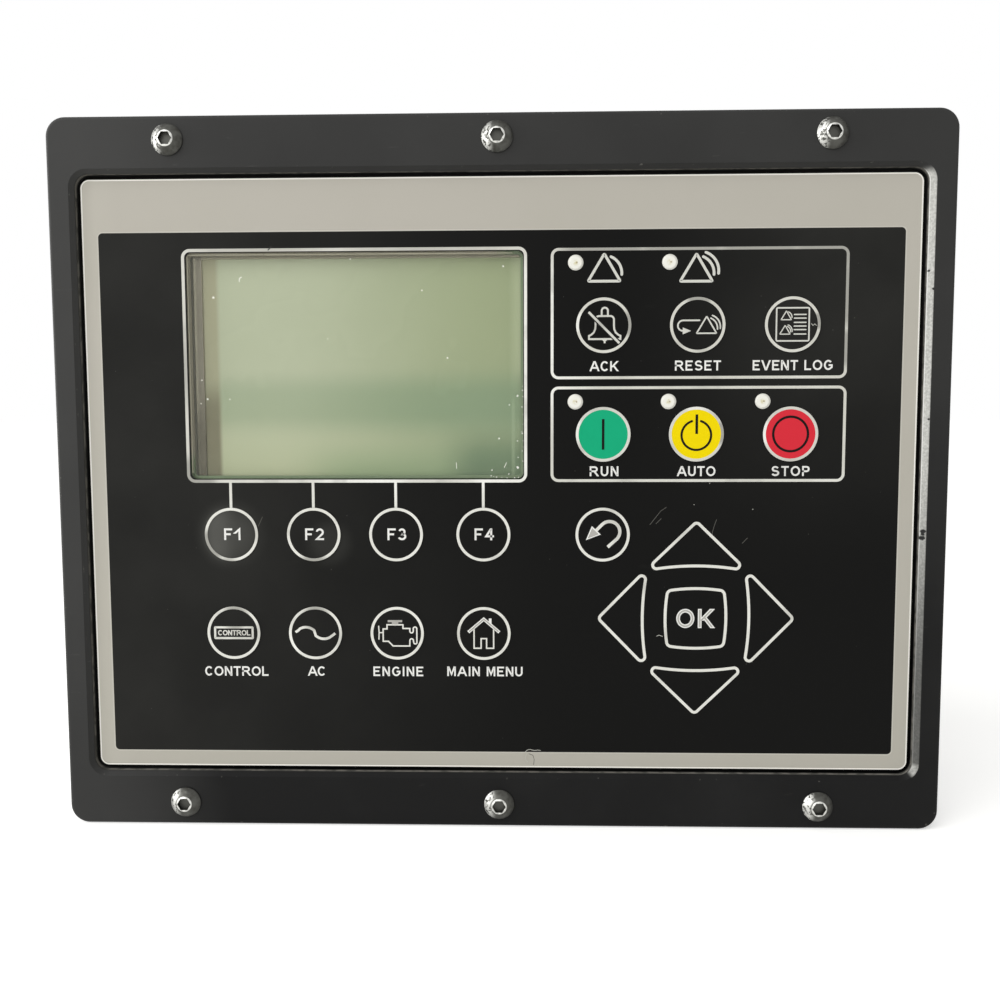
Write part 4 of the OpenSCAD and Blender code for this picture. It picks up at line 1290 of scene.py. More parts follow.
def lengthened(places: Sequence[Point], shares: Sequence[Point], by: float) -> list[Point]:
    """Stroke made longer, up to the letter's edge, where it ends there.

    Args:
        places: The stroke on the panel.
        shares: The same points as shares of the letter's width and height.
        by: How far the stroke's ends lie from that edge.

    Returns:
        The longer stroke.
    """
    ends = []
    for end, beside in BOTH_ENDS:
        point = Vector(places[end])
        along = (point - Vector(places[beside])).normalized()
        reach = by / abs(along.y) if abs(along.y) > LEVEL_FROM else by
        point = point + along * (reach if {0, 1} & set(shares[end]) else 0)
        ends.append((point.x, point.y))
    return [ends[0], *places[1:-1], ends[1]]


def lettering(
    text: str, centre: Point, width: float, height: float, weight: float = 0.172, core: float = 1.0
) -> list[Mark]:
    """Capital letters in strokes of even width.

    Args:
        text: What to write.
        centre: Middle of the text.
        width: Width of the text.
        height: Height of the letters.
        weight: Width of the strokes as a share of the height.
        core: Share of that width that is drawn.

    Returns:
        The strokes.
    """
    pen = weight * height
    letters = text.replace(" ", "")
    gaps = len(letters) - 1 + (len(text) - len(letters)) * SPACE
    gap = (width - sum(GLYPHS[letter][0] for letter in letters) * height) / gaps
    left = centre[0] - width / 2
    marks = []
    for letter in text:
        if letter == " ":
            left += gap * SPACE
            continue
        share, strokes = GLYPHS[letter]
        wide = share * height - pen
        for points in map(glyph_points, strokes):
            places = [(left + pen / 2 + u * wide, centre[1] + (v - 0.5) * (height - pen)) for u, v in points]
            ends = Ends.LEVEL if {0, 1} & {*points[0], *points[-1]} else Ends.FLAT
            if points[0] == points[-1]:
                ends = Ends.JOINED
            else:
                places = lengthened(places, points, pen * core / 2)
            marks.append(Mark(places, pen * core, ends))
        left += share * height + gap
    return marks


TRIANGLE = ((0, 0.35), (-5.4, -8.75), (5.4, -8.75))
SOUNDS = (((2.25, -0.65), (4.95, -2.9), (5.9, -6.55)), ((3.1, 0.8), (6.35, -1.7), (7.4, -6.2)))


def alarm(apex: Point, scale: float, sounds: int, width: float) -> list[Mark]:
    """Alarm triangle with sound arcs at its right.

    Args:
        apex: Top of the triangle's middle line.
        scale: 1 for the large ones beside the lamps.
        sounds: Number of sound arcs.
        width: Width of the lines.

    Returns:
        The triangle and its arcs.
    """
    marks = [Mark(soften(TRIANGLE, 0.5), width, Ends.JOINED)]
    marks += [Mark(bow(*points), width) for points in SOUNDS[:sounds]]
    return [mark.moved(apex, scale) for mark in marks]


@dataclass
class Print:
    """Thin ink shapes of one colour that make one piece on the film."""

    name: str
    finish: Finish
    depth: float
    thick: float = 0.04
    slot: str = "printed_film"
    lift: float = 0.003
    lifts: int = 4
    front: float = 0.0
    mesh: bmesh.types.BMesh = field(default_factory=bmesh.new)

    def corner(self, point: Sequence[float]) -> bmesh.types.BMVert:
        """Vertex at the front of the mark being drawn."""
        return self.mesh.verts.new((point[0] * MM, self.front * MM, point[1] * MM))

    def line(self, points: Sequence[Point], width: float, ends: Ends) -> None:
        """Draws a line of even width.

        Args:
            points: Middle of the line.
            width: Its width.
            ends: How it ends.
        """
        closed = ends is Ends.JOINED
        if closed and points[0] == points[-1]:
            points = points[:-1]
        sides = mitres(points, closed)
        left = [Vector(p) + s * (width / 2) for p, s in zip(points, sides)]
        right = [Vector(p) - s * (width / 2) for p, s in zip(points, sides)]
        if ends is Ends.LEVEL:
            for side in (left, right):
                for end, beside in BOTH_ENDS:
                    along = (Vector(points[end]) - Vector(points[beside])).normalized()
                    if abs(along.y) > LEVEL_FROM:
                        side[end] = side[end] + along * ((points[end][1] - side[end].y) / along.y)
        left, right = [self.corner(p) for p in left], [self.corner(p) for p in right]
        count = len(points)
        for k in range(count if closed else count - 1):
            following = (k + 1) % count
            self.mesh.faces.new((left[k], right[k], right[following], left[following]))
        if ends is Ends.ROUND:
            self.cap(points[0], left[0], right[0], sides[0], width)
            self.cap(points[-1], right[-1], left[-1], -sides[-1], width)

    def cap(
        self, end: Point, first: bmesh.types.BMVert, last: bmesh.types.BMVert, side: Vector, width: float
    ) -> None:
        """Closes one end of a line with a half circle.

        Args:
            end: End of the line's middle.
            first: Corner where the half circle starts.
            last: Corner where it ends.
            side: Direction from the middle to the first corner.
            width: Width of the line.
        """
        start = math.degrees(math.atan2(side.y, side.x))
        rim = [self.corner(p) for p in arc(end, width / 2, start, start + 180, 6)[1:-1]]
        self.mesh.faces.new([first] + rim + [last])

    def fill(self, outline: Sequence[Point]) -> None:
        """Fills an outline.

        Args:
            outline: Its corners.
        """
        corners = [self.corner(p) for p in outline]
        for triangle in tessellate_polygon([[Vector((p[0], p[1], 0)) for p in outline]]):
            face = self.mesh.faces.new([corners[k] for k in triangle])
            face.normal_update()
            if face.normal.y > 0:
                face.normal_flip()

    def thicken(self) -> None:
        """Adds walls from the rim back to the film, in the order of the rim's edges."""
        step = Vector((0, self.thick * MM, 0))
        rim = [edge.link_loops[0] for edge in self.mesh.edges if edge.is_boundary]
        back = {corner: self.mesh.verts.new(corner.co + step) for corner in list(self.mesh.verts)}
        for loop in rim:
            start, end = loop.vert, loop.link_loop_next.vert
            self.mesh.faces.new((end, start, back[start], back[end]))

    def build(self, marks: Iterable[Mark]) -> None:
        """Draws marks, gives the ink its thickness and makes the piece, riding on the module.

        Args:
            marks: What the ink draws, in order.
        """
        for place, mark in enumerate(marks, start=1):
            self.front = self.depth - self.thick - self.lift * ((mark.step or place) % self.lifts)
            if mark.width:
                self.line(mark.points, mark.width, mark.ends)
            else:
                self.fill(mark.points)
        self.thicken()
        piece = shaped(self.name, self.mesh, self.finish)
        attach(piece, BODY)


# Sub-assemblies


def in_mm(corners: Iterable[Sequence[float]]) -> list[Vector]:
    """Corners of a box in millimetres."""
    return [Vector(corner) / MM for corner in corners]


@dataclass(frozen=True)
class Panel:
    """Places on the front that everything else is set out from, in millimetres."""

    key_top: float
    film_front: float
    film: Point
    frame_front: float
    frame_size: Point
    pane_front: float

    @classmethod
    def from_frame(cls) -> "Panel":
        """Reads the places from the CAD nodes.

        Returns:
            The panel.
        """
        low, high = in_mm(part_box("overlay"))
        bezel_low, bezel_high = in_mm(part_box("bezel_frame"))
        return cls(
            key_top=low.y,
            film_front=low.y + max(joint["range_m"][1] for joint in frame["joints"]) / MM,
            film=(high.x - low.x, high.z - low.z),
            frame_front=bezel_low.y,
            frame_size=(bezel_high.x - bezel_low.x, bezel_high.z - bezel_low.z),
            pane_front=in_mm(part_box("display_pane"))[0].y,
        )

    def key(self, name: str) -> Point:
        """Centre of a key.

        Args:
            name: Its name, without what all keys' names begin with.

        Returns:
            The centre.
        """
        low, high = map(Vector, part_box("key_" + name))
        middle = (low + high) / 2 / MM
        return (middle.x, middle.z)


@dataclass
class FrontFrame:
    """Black frame, cast housing behind it and the six fixing screws."""

    panel: Panel
    opening: Point = (289.4, 209.6)
    window: tuple[Point, Point] = ((-48.85, 38.55), (114.9, 76.9))
    housing_front: float = -40.0
    # The housing's coat is painted darker than the frame's, as painted shade in the deep gap round the film.
    housing_black: Colour = srgb(11, 11, 10)
    housing_haze_and_sheen: Colour = srgb(30, 29, 26)
    screw_columns: float = 110.5
    screw_rows: float = 114.0

    def dress(self) -> None:
        """Gives each node its finish."""
        sizes = (self.panel.frame_size, self.opening)
        housing = (self.housing_front, self.housing_black, self.housing_haze_and_sheen, self.window)
        dress(PowderCoat("black powder coat", *sizes, self.panel.frame_front), "bezel_frame")
        # The housing coat, with painted shade in the gap round the film and painted light round the window.
        dress(PowderCoat("housing coat", *sizes, *housing), "front_housing")
        dress(ScrewSteel("screw steel", self.screw_columns, self.screw_rows), "mounting_screws")


class Inks(Enum):
    """Inks of the film."""

    SILVER = Ink("silver ink", srgb(222, 222, 214))
    WHITE = Ink("white ink", srgb(244, 244, 240), rub=0.35)
    FILLING = Ink("dull silver ink", srgb(188, 186, 180), rub=0.2)
    BLACK = Ink("black ink", srgb(16, 16, 15), srgb(34, 34, 32))
    GREEN = Ink("green ink", srgb(24, 178, 128), srgb(22, 166, 118), rub=0.3)
    YELLOW = Ink("yellow ink", srgb(252, 226, 0), srgb(244, 216, 4), rub=0.3)
    RED = Ink("red ink", srgb(224, 50, 64), srgb(208, 48, 60), rub=0.3)
    # The silver inks' spots of painted highlight come first, then their spots of painted shade.
    RINGS = SilverInk(
        "ring silver ink",
        srgb(222, 221, 212),
        (
            ((67.8, 24.9), 5.0), ((90.0, 15.6), 5.0), ((27.2, 15.6), 5.0), ((27.0, 53.0), 4.0),
            ((-93.0, -67.5), 6.0), ((-73.4, -56.8), 6.5),
        ),
        (
            ((-101.6, -24.0), 8.0), ((-94.5, -32.5), 6.5), ((-64.2, -31.5), 7.5), ((-92.1, -48.4), 6.0),
            ((-63.8, -48.4), 6.0), ((45.2, 52.4), 5.5), ((67.7, 61.4), 5.5), ((108.0, 53.0), 3.5),
            ((76.3, 15.6), 5.0),
        ),
    )
    FRAMES = SilverInk(
        "frame silver ink",
        srgb(218, 217, 208),
        (
            ((9.4, 47.0), 34.0), ((2.0, 20.0), 15.0), ((2.0, 4.0), 15.0), ((-48.0, -0.8), 22.0),
            ((18.4, 60.0), 14.0),
        ),
        (
            ((-80.0, 122.0), 58.0), ((-25.0, 122.0), 58.0), ((36.0, 77.3), 19.0), ((62.0, 77.3), 19.0),
            ((88.0, 77.3), 19.0), ((110.0, 77.3), 15.0), ((117.2, 62.0), 14.0), ((117.2, 44.0), 8.0),
            ((-106.0, -0.8), 11.0), ((-123.5, 38.0), 24.0),
        ),
    )


@dataclass(frozen=True)
class Picture:
    """What one ink draws on a key, about its centre, over a number of layers of ink."""

    name: str
    key: str
    ink: Inks
    marks: Sequence[Mark]
    layer: int = 0


SLASH = ((-5.1, 4.45), (5.3, -6.0))
BELL = (
    Mark(
        mirrored(
            [(5.3, -4.6), (5.3, -3.5), (4.6, -3.2), (3.7, -2.4), (3.2, -1.3), (3.1, 0.0)]
            + arc((1.9, 1.9), 1.2, 0, 90, 6)
        ),
        0.62,
        Ends.JOINED,
    ),
    Mark([(1.04, 3.1)] + arc((0, 4.85), 1.04, 0, 180, 12) + [(-1.04, 3.1)], 0.62),
    Mark([(-0.95, -4.8), (-0.3, -5.4), (-0.3, -6.0), (0.3, -6.0), (0.3, -5.4), (0.95, -4.8)]),
)
RETURN = (
    Mark([(0.6, 1.5), (-4.9, 1.5)] + arc((-4.9, -0.25), 1.75, 90, 270, 12)[1:] + [(-4.6, -2.0)], 0.55),
    Mark([(-5.0, -0.85), (-5.0, -3.15), (-2.2, -2.0)]),
    *alarm((3.0, 2.6), 0.62, 2, 0.5),
)
PAGE = (
    Mark(rounded((0, 0), 10.9, 11.0, 0.4, 3), 0.5, Ends.JOINED),
    *alarm((-2.2, 4.35), 0.32, 1, 0.36),
    *alarm((-2.55, -0.45), 0.32, 2, 0.34),
    *(Mark([(0.5, height), (4.4, height)], 0.42) for height in (3.28, 2.06, 0.64, -0.58, -1.76, -3.23)),
)
POWER = (Mark(arc((0, -0.35), 5.0, 108, 432, 48), 0.76), Mark([(0.1, 0.1), (0.1, 6.7)], 0.88, Ends.FLAT))
PLATE = (
    Mark(rounded((0, 0), 13.2, 3.8, 0.15, 2), 0.75, Ends.JOINED),
    *lettering("CONTROL", (0.1, 0), 11.4, 1.9, 0.2),
)
WAVE = (
    [(-7.0, 0.25), (-5.9, 1.0)]
    + arc((-3.35, -2.2), 4.25, 120, 47, 10)
    + arc((2.95, 2.25), 4.3, 228, 300, 10)
    + [(6.95, -0.1)]
)
ENGINE = (
    Mark(
        [(-4.9, 1.52), (-3.52, 1.52), (-3.52, 3.0), (2.04, 3.0), (2.04, 1.7), (4.44, 1.7)]
        + arc((5.03, 0.75), 0.6, 180, 360, 8)
        + arc((6.24, 1.6), 0.62, 180, 0, 8)
        + arc((6.3, -3.2), 0.56, 360, 190, 8)
        + arc((5.03, -2.55), 0.62, 0, 180, 8)
        + [(4.37, -4.5), (-1.48, -4.5), (-3.04, -2.85), (-4.9, -2.85)],
        0.48,
        Ends.JOINED,
    ),
    Mark([(-6.45, 2.5), (-6.3, 0.2), (-6.4, -2.1)], 0.42),
    Mark([(-6.3, 0.2), (-4.9, 0.2)], 0.42),
)
CAP = (
    Mark([(-3.26, 3.9), (1.78, 3.9), (1.78, 4.63), (-3.26, 4.63)]),
    Mark([(-1.85, 3.1), (0.44, 3.1), (0.44, 3.9), (-1.85, 3.9)]),
)
WALLS = mirrored([(-3.4, 1.4), (-3.4, -5.2), (-0.95, -5.2), (-0.95, -1.8)])
ROOF = (
    Mark([(-5.4, 0.45), (0, 5.05), (5.4, 0.45)], 1.05, Ends.FLAT),
    Mark([(1.75, 3.9), (2.7, 3.1), (2.7, 5.3), (1.75, 5.3)]),
)
ROOF_CORE = (Mark([(-5.1, 0.7), (0, 5.05), (5.1, 0.7)], 0.5, Ends.FLAT),)
HOOK = [(-2.3, 1.35), (-0.2, 3.5)] + arc((2.35, 1.0), 3.55, 135, -45, 20) + [(1.75, -4.3)]
PICTURES = (
    Picture("bell_symbol", "ack", Inks.SILVER, [mark.moved((0.35, 0)) for mark in BELL]),
    Picture("bell_slash_gap", "ack", Inks.BLACK, [Mark(SLASH, 1.6, Ends.FLAT)], 1),
    Picture("bell_slash", "ack", Inks.SILVER, [Mark(SLASH, 0.8, Ends.FLAT)], 2),
    Picture("reset_symbol", "reset", Inks.SILVER, RETURN),
    Picture("log_symbol", "log", Inks.SILVER, PAGE),
    Picture("run_symbol", "run", Inks.BLACK, [Mark([(0, -5.2), (0, 5.2)], 0.88, Ends.FLAT)], 1),
    Picture("auto_symbol", "auto", Inks.BLACK, POWER, 1),
    Picture("stop_symbol", "stop", Inks.BLACK, [ring((0, 0), 6.25, 0.8)], 1),
    Picture("control_symbol", "control", Inks.RINGS, PLATE),
    Picture("ac_symbol", "ac", Inks.RINGS, [Mark(WAVE, 0.9, Ends.FLAT)]),
    Picture("engine_symbol", "engine", Inks.RINGS, ENGINE),
    Picture("engine_cap_symbol", "engine", Inks.FILLING, CAP),
    Picture("menu_symbol", "menu", Inks.RINGS, [Mark(WALLS, 0.48)]),
    Picture("menu_roof_rim", "menu", Inks.WHITE, ROOF),
    Picture("menu_roof_symbol", "menu", Inks.FILLING, ROOF_CORE, 1),
    Picture("back_symbol", "back", Inks.RINGS, [Mark(HOOK, 1.1, Ends.FLAT)]),
    Picture("back_head_rim", "back", Inks.WHITE, [Mark([(-5.75, -1.9), (-0.6, 0.05), (-3.7, 3.0)])], 1),
    Picture("back_head_symbol", "back", Inks.FILLING, [Mark([(-5.1, -1.3), (-1.35, 0.15), (-3.6, 2.25)])], 2),
)


@dataclass
class Keypad:
    """Printed film with its rings, pictures and words."""

    panel: Panel
    pictures: tuple[Picture, ...] = PICTURES
    layer: float = 0.03
    round_keys: str = "ack reset log run auto stop f1 f2 f3 f4 back control ac engine menu"
    function_keys: tuple[str, ...] = ("f1", "f2", "f3", "f4")
    ring_r: float = 9.3
    ring_w: float = 0.95
    disc_r: float = 8.45
    stalk_w: float = 0.95
    stalk_in: float = 0.5
    stalk_top: float = -0.8
    boxes: tuple[tuple[Point, float, float, float, float], ...] = (
        ((-48.9, 38.5), 116.6, 78.6, 2.4, 1.05),
        ((67.8, 55.8), 98.8, 43.0, 2.2, 0.95),
        ((67.85, 15.1), 98.9, 31.6, 2.2, 0.95),
    )
    field_centre: Point = (0.05, -6.15)
    field_size: Point = (272.1, 179.9)
    arrow_tip: float = 34.3
    arrow_base: float = 16.8
    arrow_w: float = 30.7
    arrow_r: float = 1.8
    arrow_arc: float = 90.0
    arrow_line: float = 0.98
    ok_w: float = 20.7
    ok_r: float = 2.2
    ok_arc: float = 60.0
    ok_text: tuple[float, float, float] = (13.2, 6.7, 0.19)
    ok_core: float = 0.42
    letter_h: float = 4.1
    letter_gap: float = 0.8
    letter_weight: float = 0.17
    letter_at: Point = (0.3, 0.1)
    alarms: tuple[tuple[Point, int], ...] = (((35.9, 75.4), 1), ((66.8, 75.2), 2))
    alarm_line: float = 0.9
    word_h: float = 3.4
    words: tuple[tuple[str, Point, float], ...] = (
        ("ACK", (36.1, 38.2), 9.8),
        ("RESET", (67.7, 38.3), 15.5),
        ("EVENT LOG", (99.5, 38.3), 26.8),
        ("RUN", (36.2, 2.5), 9.8),
        ("AUTO", (67.6, 2.5), 13.0),
        ("STOP", (99.5, 2.5), 12.9),
        ("CONTROL", (-92.1, -67.6), 22.4),
        ("AC", (-63.8, -67.5), 6.2),
        ("ENGINE", (-35.2, -67.5), 17.5),
        ("MAIN MENU", (-4.9, -67.4), 26.3),
    )

    def on_film(self, name: str, ink: Inks, marks: Iterable[Mark]) -> None:
        """Prints one piece on the flat film."""
        Print(name, ink.value, self.panel.film_front).build(marks)

    def on_keys(self, name: str, ink: Inks, marks: Iterable[Mark], layer: int = 0) -> None:
        """Prints one piece on the embossed keys, over a number of layers of ink."""
        Print(name, ink.value, self.panel.key_top - self.layer * layer).build(marks)

    def dress(self) -> None:
        """Gives the film and the keys behind it their finishes."""
        sizes = (self.panel.film, self.field_centre, self.field_size)
        dress(PrintedFilm("printed film", *sizes, self.panel.key("f1")), "overlay")
        keys = [name for name in frame["nodes"] if name.startswith("key_")]
        keys = [name for name in keys if name not in ("key_board", "key_switches")]
        dress(Moulded("key plastic", srgb(60, 62, 64)), *keys)

    def build_frames(self) -> None:
        """Builds the silver frames round the display and two groups of keys, with four stalks."""
        marks = [Mark(rounded(*sizes), width, Ends.JOINED) for *sizes, width in self.boxes]
        for x, z in map(self.panel.key, self.function_keys):
            stalk = [(x, z + self.ring_r - self.stalk_in), (x, self.stalk_top)]
            marks.append(Mark(stalk, self.stalk_w, Ends.FLAT, len(self.boxes) + 1))
        self.on_film("group_frames", Inks.FRAMES, marks)

    def build_rings(self) -> None:
        """Builds the rings round the keys and the coloured discs."""
        places = map(self.panel.key, self.round_keys.split())
        self.on_keys("key_rings", Inks.RINGS, [ring(at, self.ring_r, self.ring_w) for at in places], 1)
        for name, ink in (("run", Inks.GREEN), ("auto", Inks.YELLOW), ("stop", Inks.RED)):
            self.on_keys(name + "_disc", ink, [Mark(circle(self.panel.key(name), self.disc_r))])

    def build_words(self) -> None:
        """Builds the words under the keys and the letters on them."""
        words = [mark for text, at, width in self.words for mark in lettering(text, at, width, self.word_h)]
        self.on_film("key_words", Inks.WHITE, words)
        letters = []
        for name in self.function_keys:
            text = name.upper()
            width = sum(GLYPHS[letter][0] for letter in text) * self.letter_h + self.letter_gap
            (centre,) = moved([self.panel.key(name)], self.letter_at)
            letters += lettering(text, centre, width, self.letter_h, self.letter_weight)
        self.on_keys("key_letters", Inks.WHITE, letters, 1)
        middle = self.panel.key("ok")
        self.on_keys("ok_letters_rim", Inks.WHITE, lettering("OK", middle, *self.ok_text))
        self.on_keys("ok_letters", Inks.FILLING, lettering("OK", middle, *self.ok_text, self.ok_core), 1)

    def arrow_outline(self, inset: float) -> list[Point]:
        """Outline of the arrow key that points up, about the cluster's centre.

        Args:
            inset: How far inside the key's edge it runs.

        Returns:
            The points, anticlockwise.
        """
        half = self.arrow_w / 2 - self.arrow_r
        radius = self.arrow_r - inset
        tip = Vector((0, self.arrow_tip - self.arrow_r * math.sqrt(2)))
        right = Vector((half, self.arrow_base + self.arrow_r))
        hollow = Vector((0, right.y - math.sqrt((self.arrow_arc + self.arrow_r) ** 2 - half**2)))
        out = 90 - math.degrees(math.atan2(tip.y - right.y, half))
        inward = math.degrees(math.atan2(hollow.y - right.y, hollow.x - right.x))
        reach = math.degrees(math.atan2(right.x, right.y - hollow.y))
        points = arc(right, radius, inward, out, 10)
        points += arc(tip, radius, out, 180 - out, 8)
        points += arc((-right.x, right.y), radius, 180 - out, 180 - inward, 10)
        return points + arc(hollow, self.arrow_arc + inset, 90 + reach, 90 - reach, 24)[1:-1]

    def ok_outline(self, inset: float) -> list[Point]:
        """Outline of the middle key, about the cluster's centre.

        Args:
            inset: How far inside the key's edge it runs.

        Returns:
            The points, clockwise on each side.
        """
        half = self.ok_w / 2 - self.ok_r
        centre_y = half - math.sqrt((self.ok_arc - self.ok_r) ** 2 - half**2)
        reach = math.degrees(math.atan2(half, half - centre_y))
        side = arc((0, centre_y), self.ok_arc - inset, 90 - reach, 90 + reach, 12)
        corner = arc((-half, half), self.ok_r - inset, 90 + reach, 180 - reach, 6)[1:-1]
        return [p for turn in range(4) for p in turned(side + corner, turn)]

    def build_arrows(self) -> None:
        """Builds the outlines of the arrow keys and the middle key."""
        inset = self.arrow_line / 2
        outlines = [turned(self.arrow_outline(inset), turn) for turn in range(4)] + [self.ok_outline(inset)]
        middle = self.panel.key("ok")
        marks = [Mark(moved(points, middle), self.arrow_line, Ends.JOINED) for points in outlines]
        self.on_keys("arrow_lines", Inks.RINGS, marks)

    def build_pictures(self) -> None:
        """Builds the alarm triangles beside the lamps and the pictures on the keys."""
        marks = [mark for at, sounds in self.alarms for mark in alarm(at, 1.0, sounds, self.alarm_line)]
        self.on_film("alarm_symbols", Inks.SILVER, marks)
        for picture in self.pictures:
            at = self.panel.key(picture.key)
            self.on_keys(picture.name, picture.ink, [mark.moved(at) for mark in picture.marks], picture.layer)

    def build(self) -> None:
        """Builds every print."""
        self.build_frames()
        self.build_rings()
        self.build_words()
        self.build_arrows()
        self.build_pictures()


@dataclass
class Display:
    """Pane, display cell and what surrounds them."""

    strip: float = 5.8

    def dress(self) -> None:
        """Gives each node its finish."""
        low, high = in_mm(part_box("lcd_cell"))
        face = DisplayFace("display face", low.x, high.x, low.z, high.z)
        dress(ClearPane("clear pane"), "display_pane")
        dress(face, "lcd_cell")
        steel = StripSteel("display frame steel", low.x + self.strip, (face.up(0.5), face.up(0.2)))
        dress(steel, "lcd_frame")
        dress(Moulded("gasket foam", srgb(104, 101, 90), 0.85, 0.5, 0.08), "display_gasket")
        dress(Moulded("light guide plastic", srgb(228, 230, 222), 0.3, 3.0), "backlight")


@dataclass
class Lamps:
    """Indicator lights: lens and lamp behind it."""

    centres: tuple[Point, ...] = ((26.3, 72.9), (57.9, 72.9), (26.3, 26.2), (57.9, 26.2), (89.7, 26.2))

    def dress(self) -> None:
        """Gives each node its finish."""
        dress(Milky("milky lens", self.centres), "light_pipes")
        dress(Moulded("lamp resin", srgb(214, 202, 150), 0.25, 2.0), "status_leds")


@dataclass
class RearBox:
    """Cast rear cover with its gasket, screws and ground stud."""

    stud_pitch: float = 1.0
    stud_thread_from: float = 55.0

    def dress(self) -> None:
        """Gives each node its finish."""
        cast = Metal("cast aluminium", srgb(182, 184, 186), srgb(160, 161, 162), 0.52, 0.9, 0.09)
        zinc = Metal("plated steel", srgb(176, 178, 180), srgb(120, 118, 112), 0.32, 0.6, 0.02)
        brass = Metal("plated brass", srgb(212, 184, 112), srgb(150, 120, 66), 0.3, 0.6, 0.01)
        brass = replace(brass, pitch=self.stud_pitch, thread_from=self.stud_thread_from)
        dress(cast, "rear_cover")
        dress(Moulded("gasket rubber", srgb(30, 30, 31), 0.8, 0.8), "cover_gasket", "header_seals")
        dress(zinc, "cover_screws", "header_screws", "board_screws")
        dress(brass, "ground_stud")


@dataclass
class Connectors:
    """Two harness connectors."""

    texture: float = 0.5
    depth: float = 0.02

    def dress(self) -> None:
        """Gives each node its finish."""
        shell = Moulded("connector shell plastic", srgb(34, 34, 35), 0.48, self.texture, self.depth)
        block = Moulded("contact block plastic", srgb(66, 68, 71), 0.5, self.texture, self.depth)
        gold = Metal("contact plating", srgb(226, 194, 118), srgb(190, 158, 92), 0.25, 0.5, 0.005, 0.3)
        dress(shell, "header_shell_large", "header_shell_small")
        dress(block, "contact_block_large", "contact_block_small")
        dress(gold, "contact_pins_large", "contact_pins_small", "jack_inserts")


@dataclass
class Electronics:
    """Boards and what they carry, inside the housing."""

    def dress(self) -> None:
        """Gives each node its finish."""
        dress(Laminate("solder mask"), "lcd_board", "key_board", "main_board")
        dress(Moulded("socket plastic", srgb(32, 33, 35)), "key_switches", "board_sockets", "cell_holder")
        dress(Moulded("ribbon jacket", srgb(150, 152, 156), 0.45, 1.2, 0.05), "ribbon_cables")
        dress(Moulded("chip plastic", srgb(36, 36, 38), 0.55), "processor_chips")
        dress(Moulded("relay plastic", srgb(214, 208, 190), 0.35, 2.0), "relays")
        dress(Moulded("capacitor sleeve", srgb(52, 62, 84), 0.3, 2.0), "capacitors")
        dress(Moulded("ferrite", srgb(70, 70, 72), 0.7, 0.6, 0.05), "inductors")
        dress(Metal("cell steel", srgb(196, 198, 200), srgb(160, 160, 160), 0.3, 0.6, 0.01), "backup_cell")


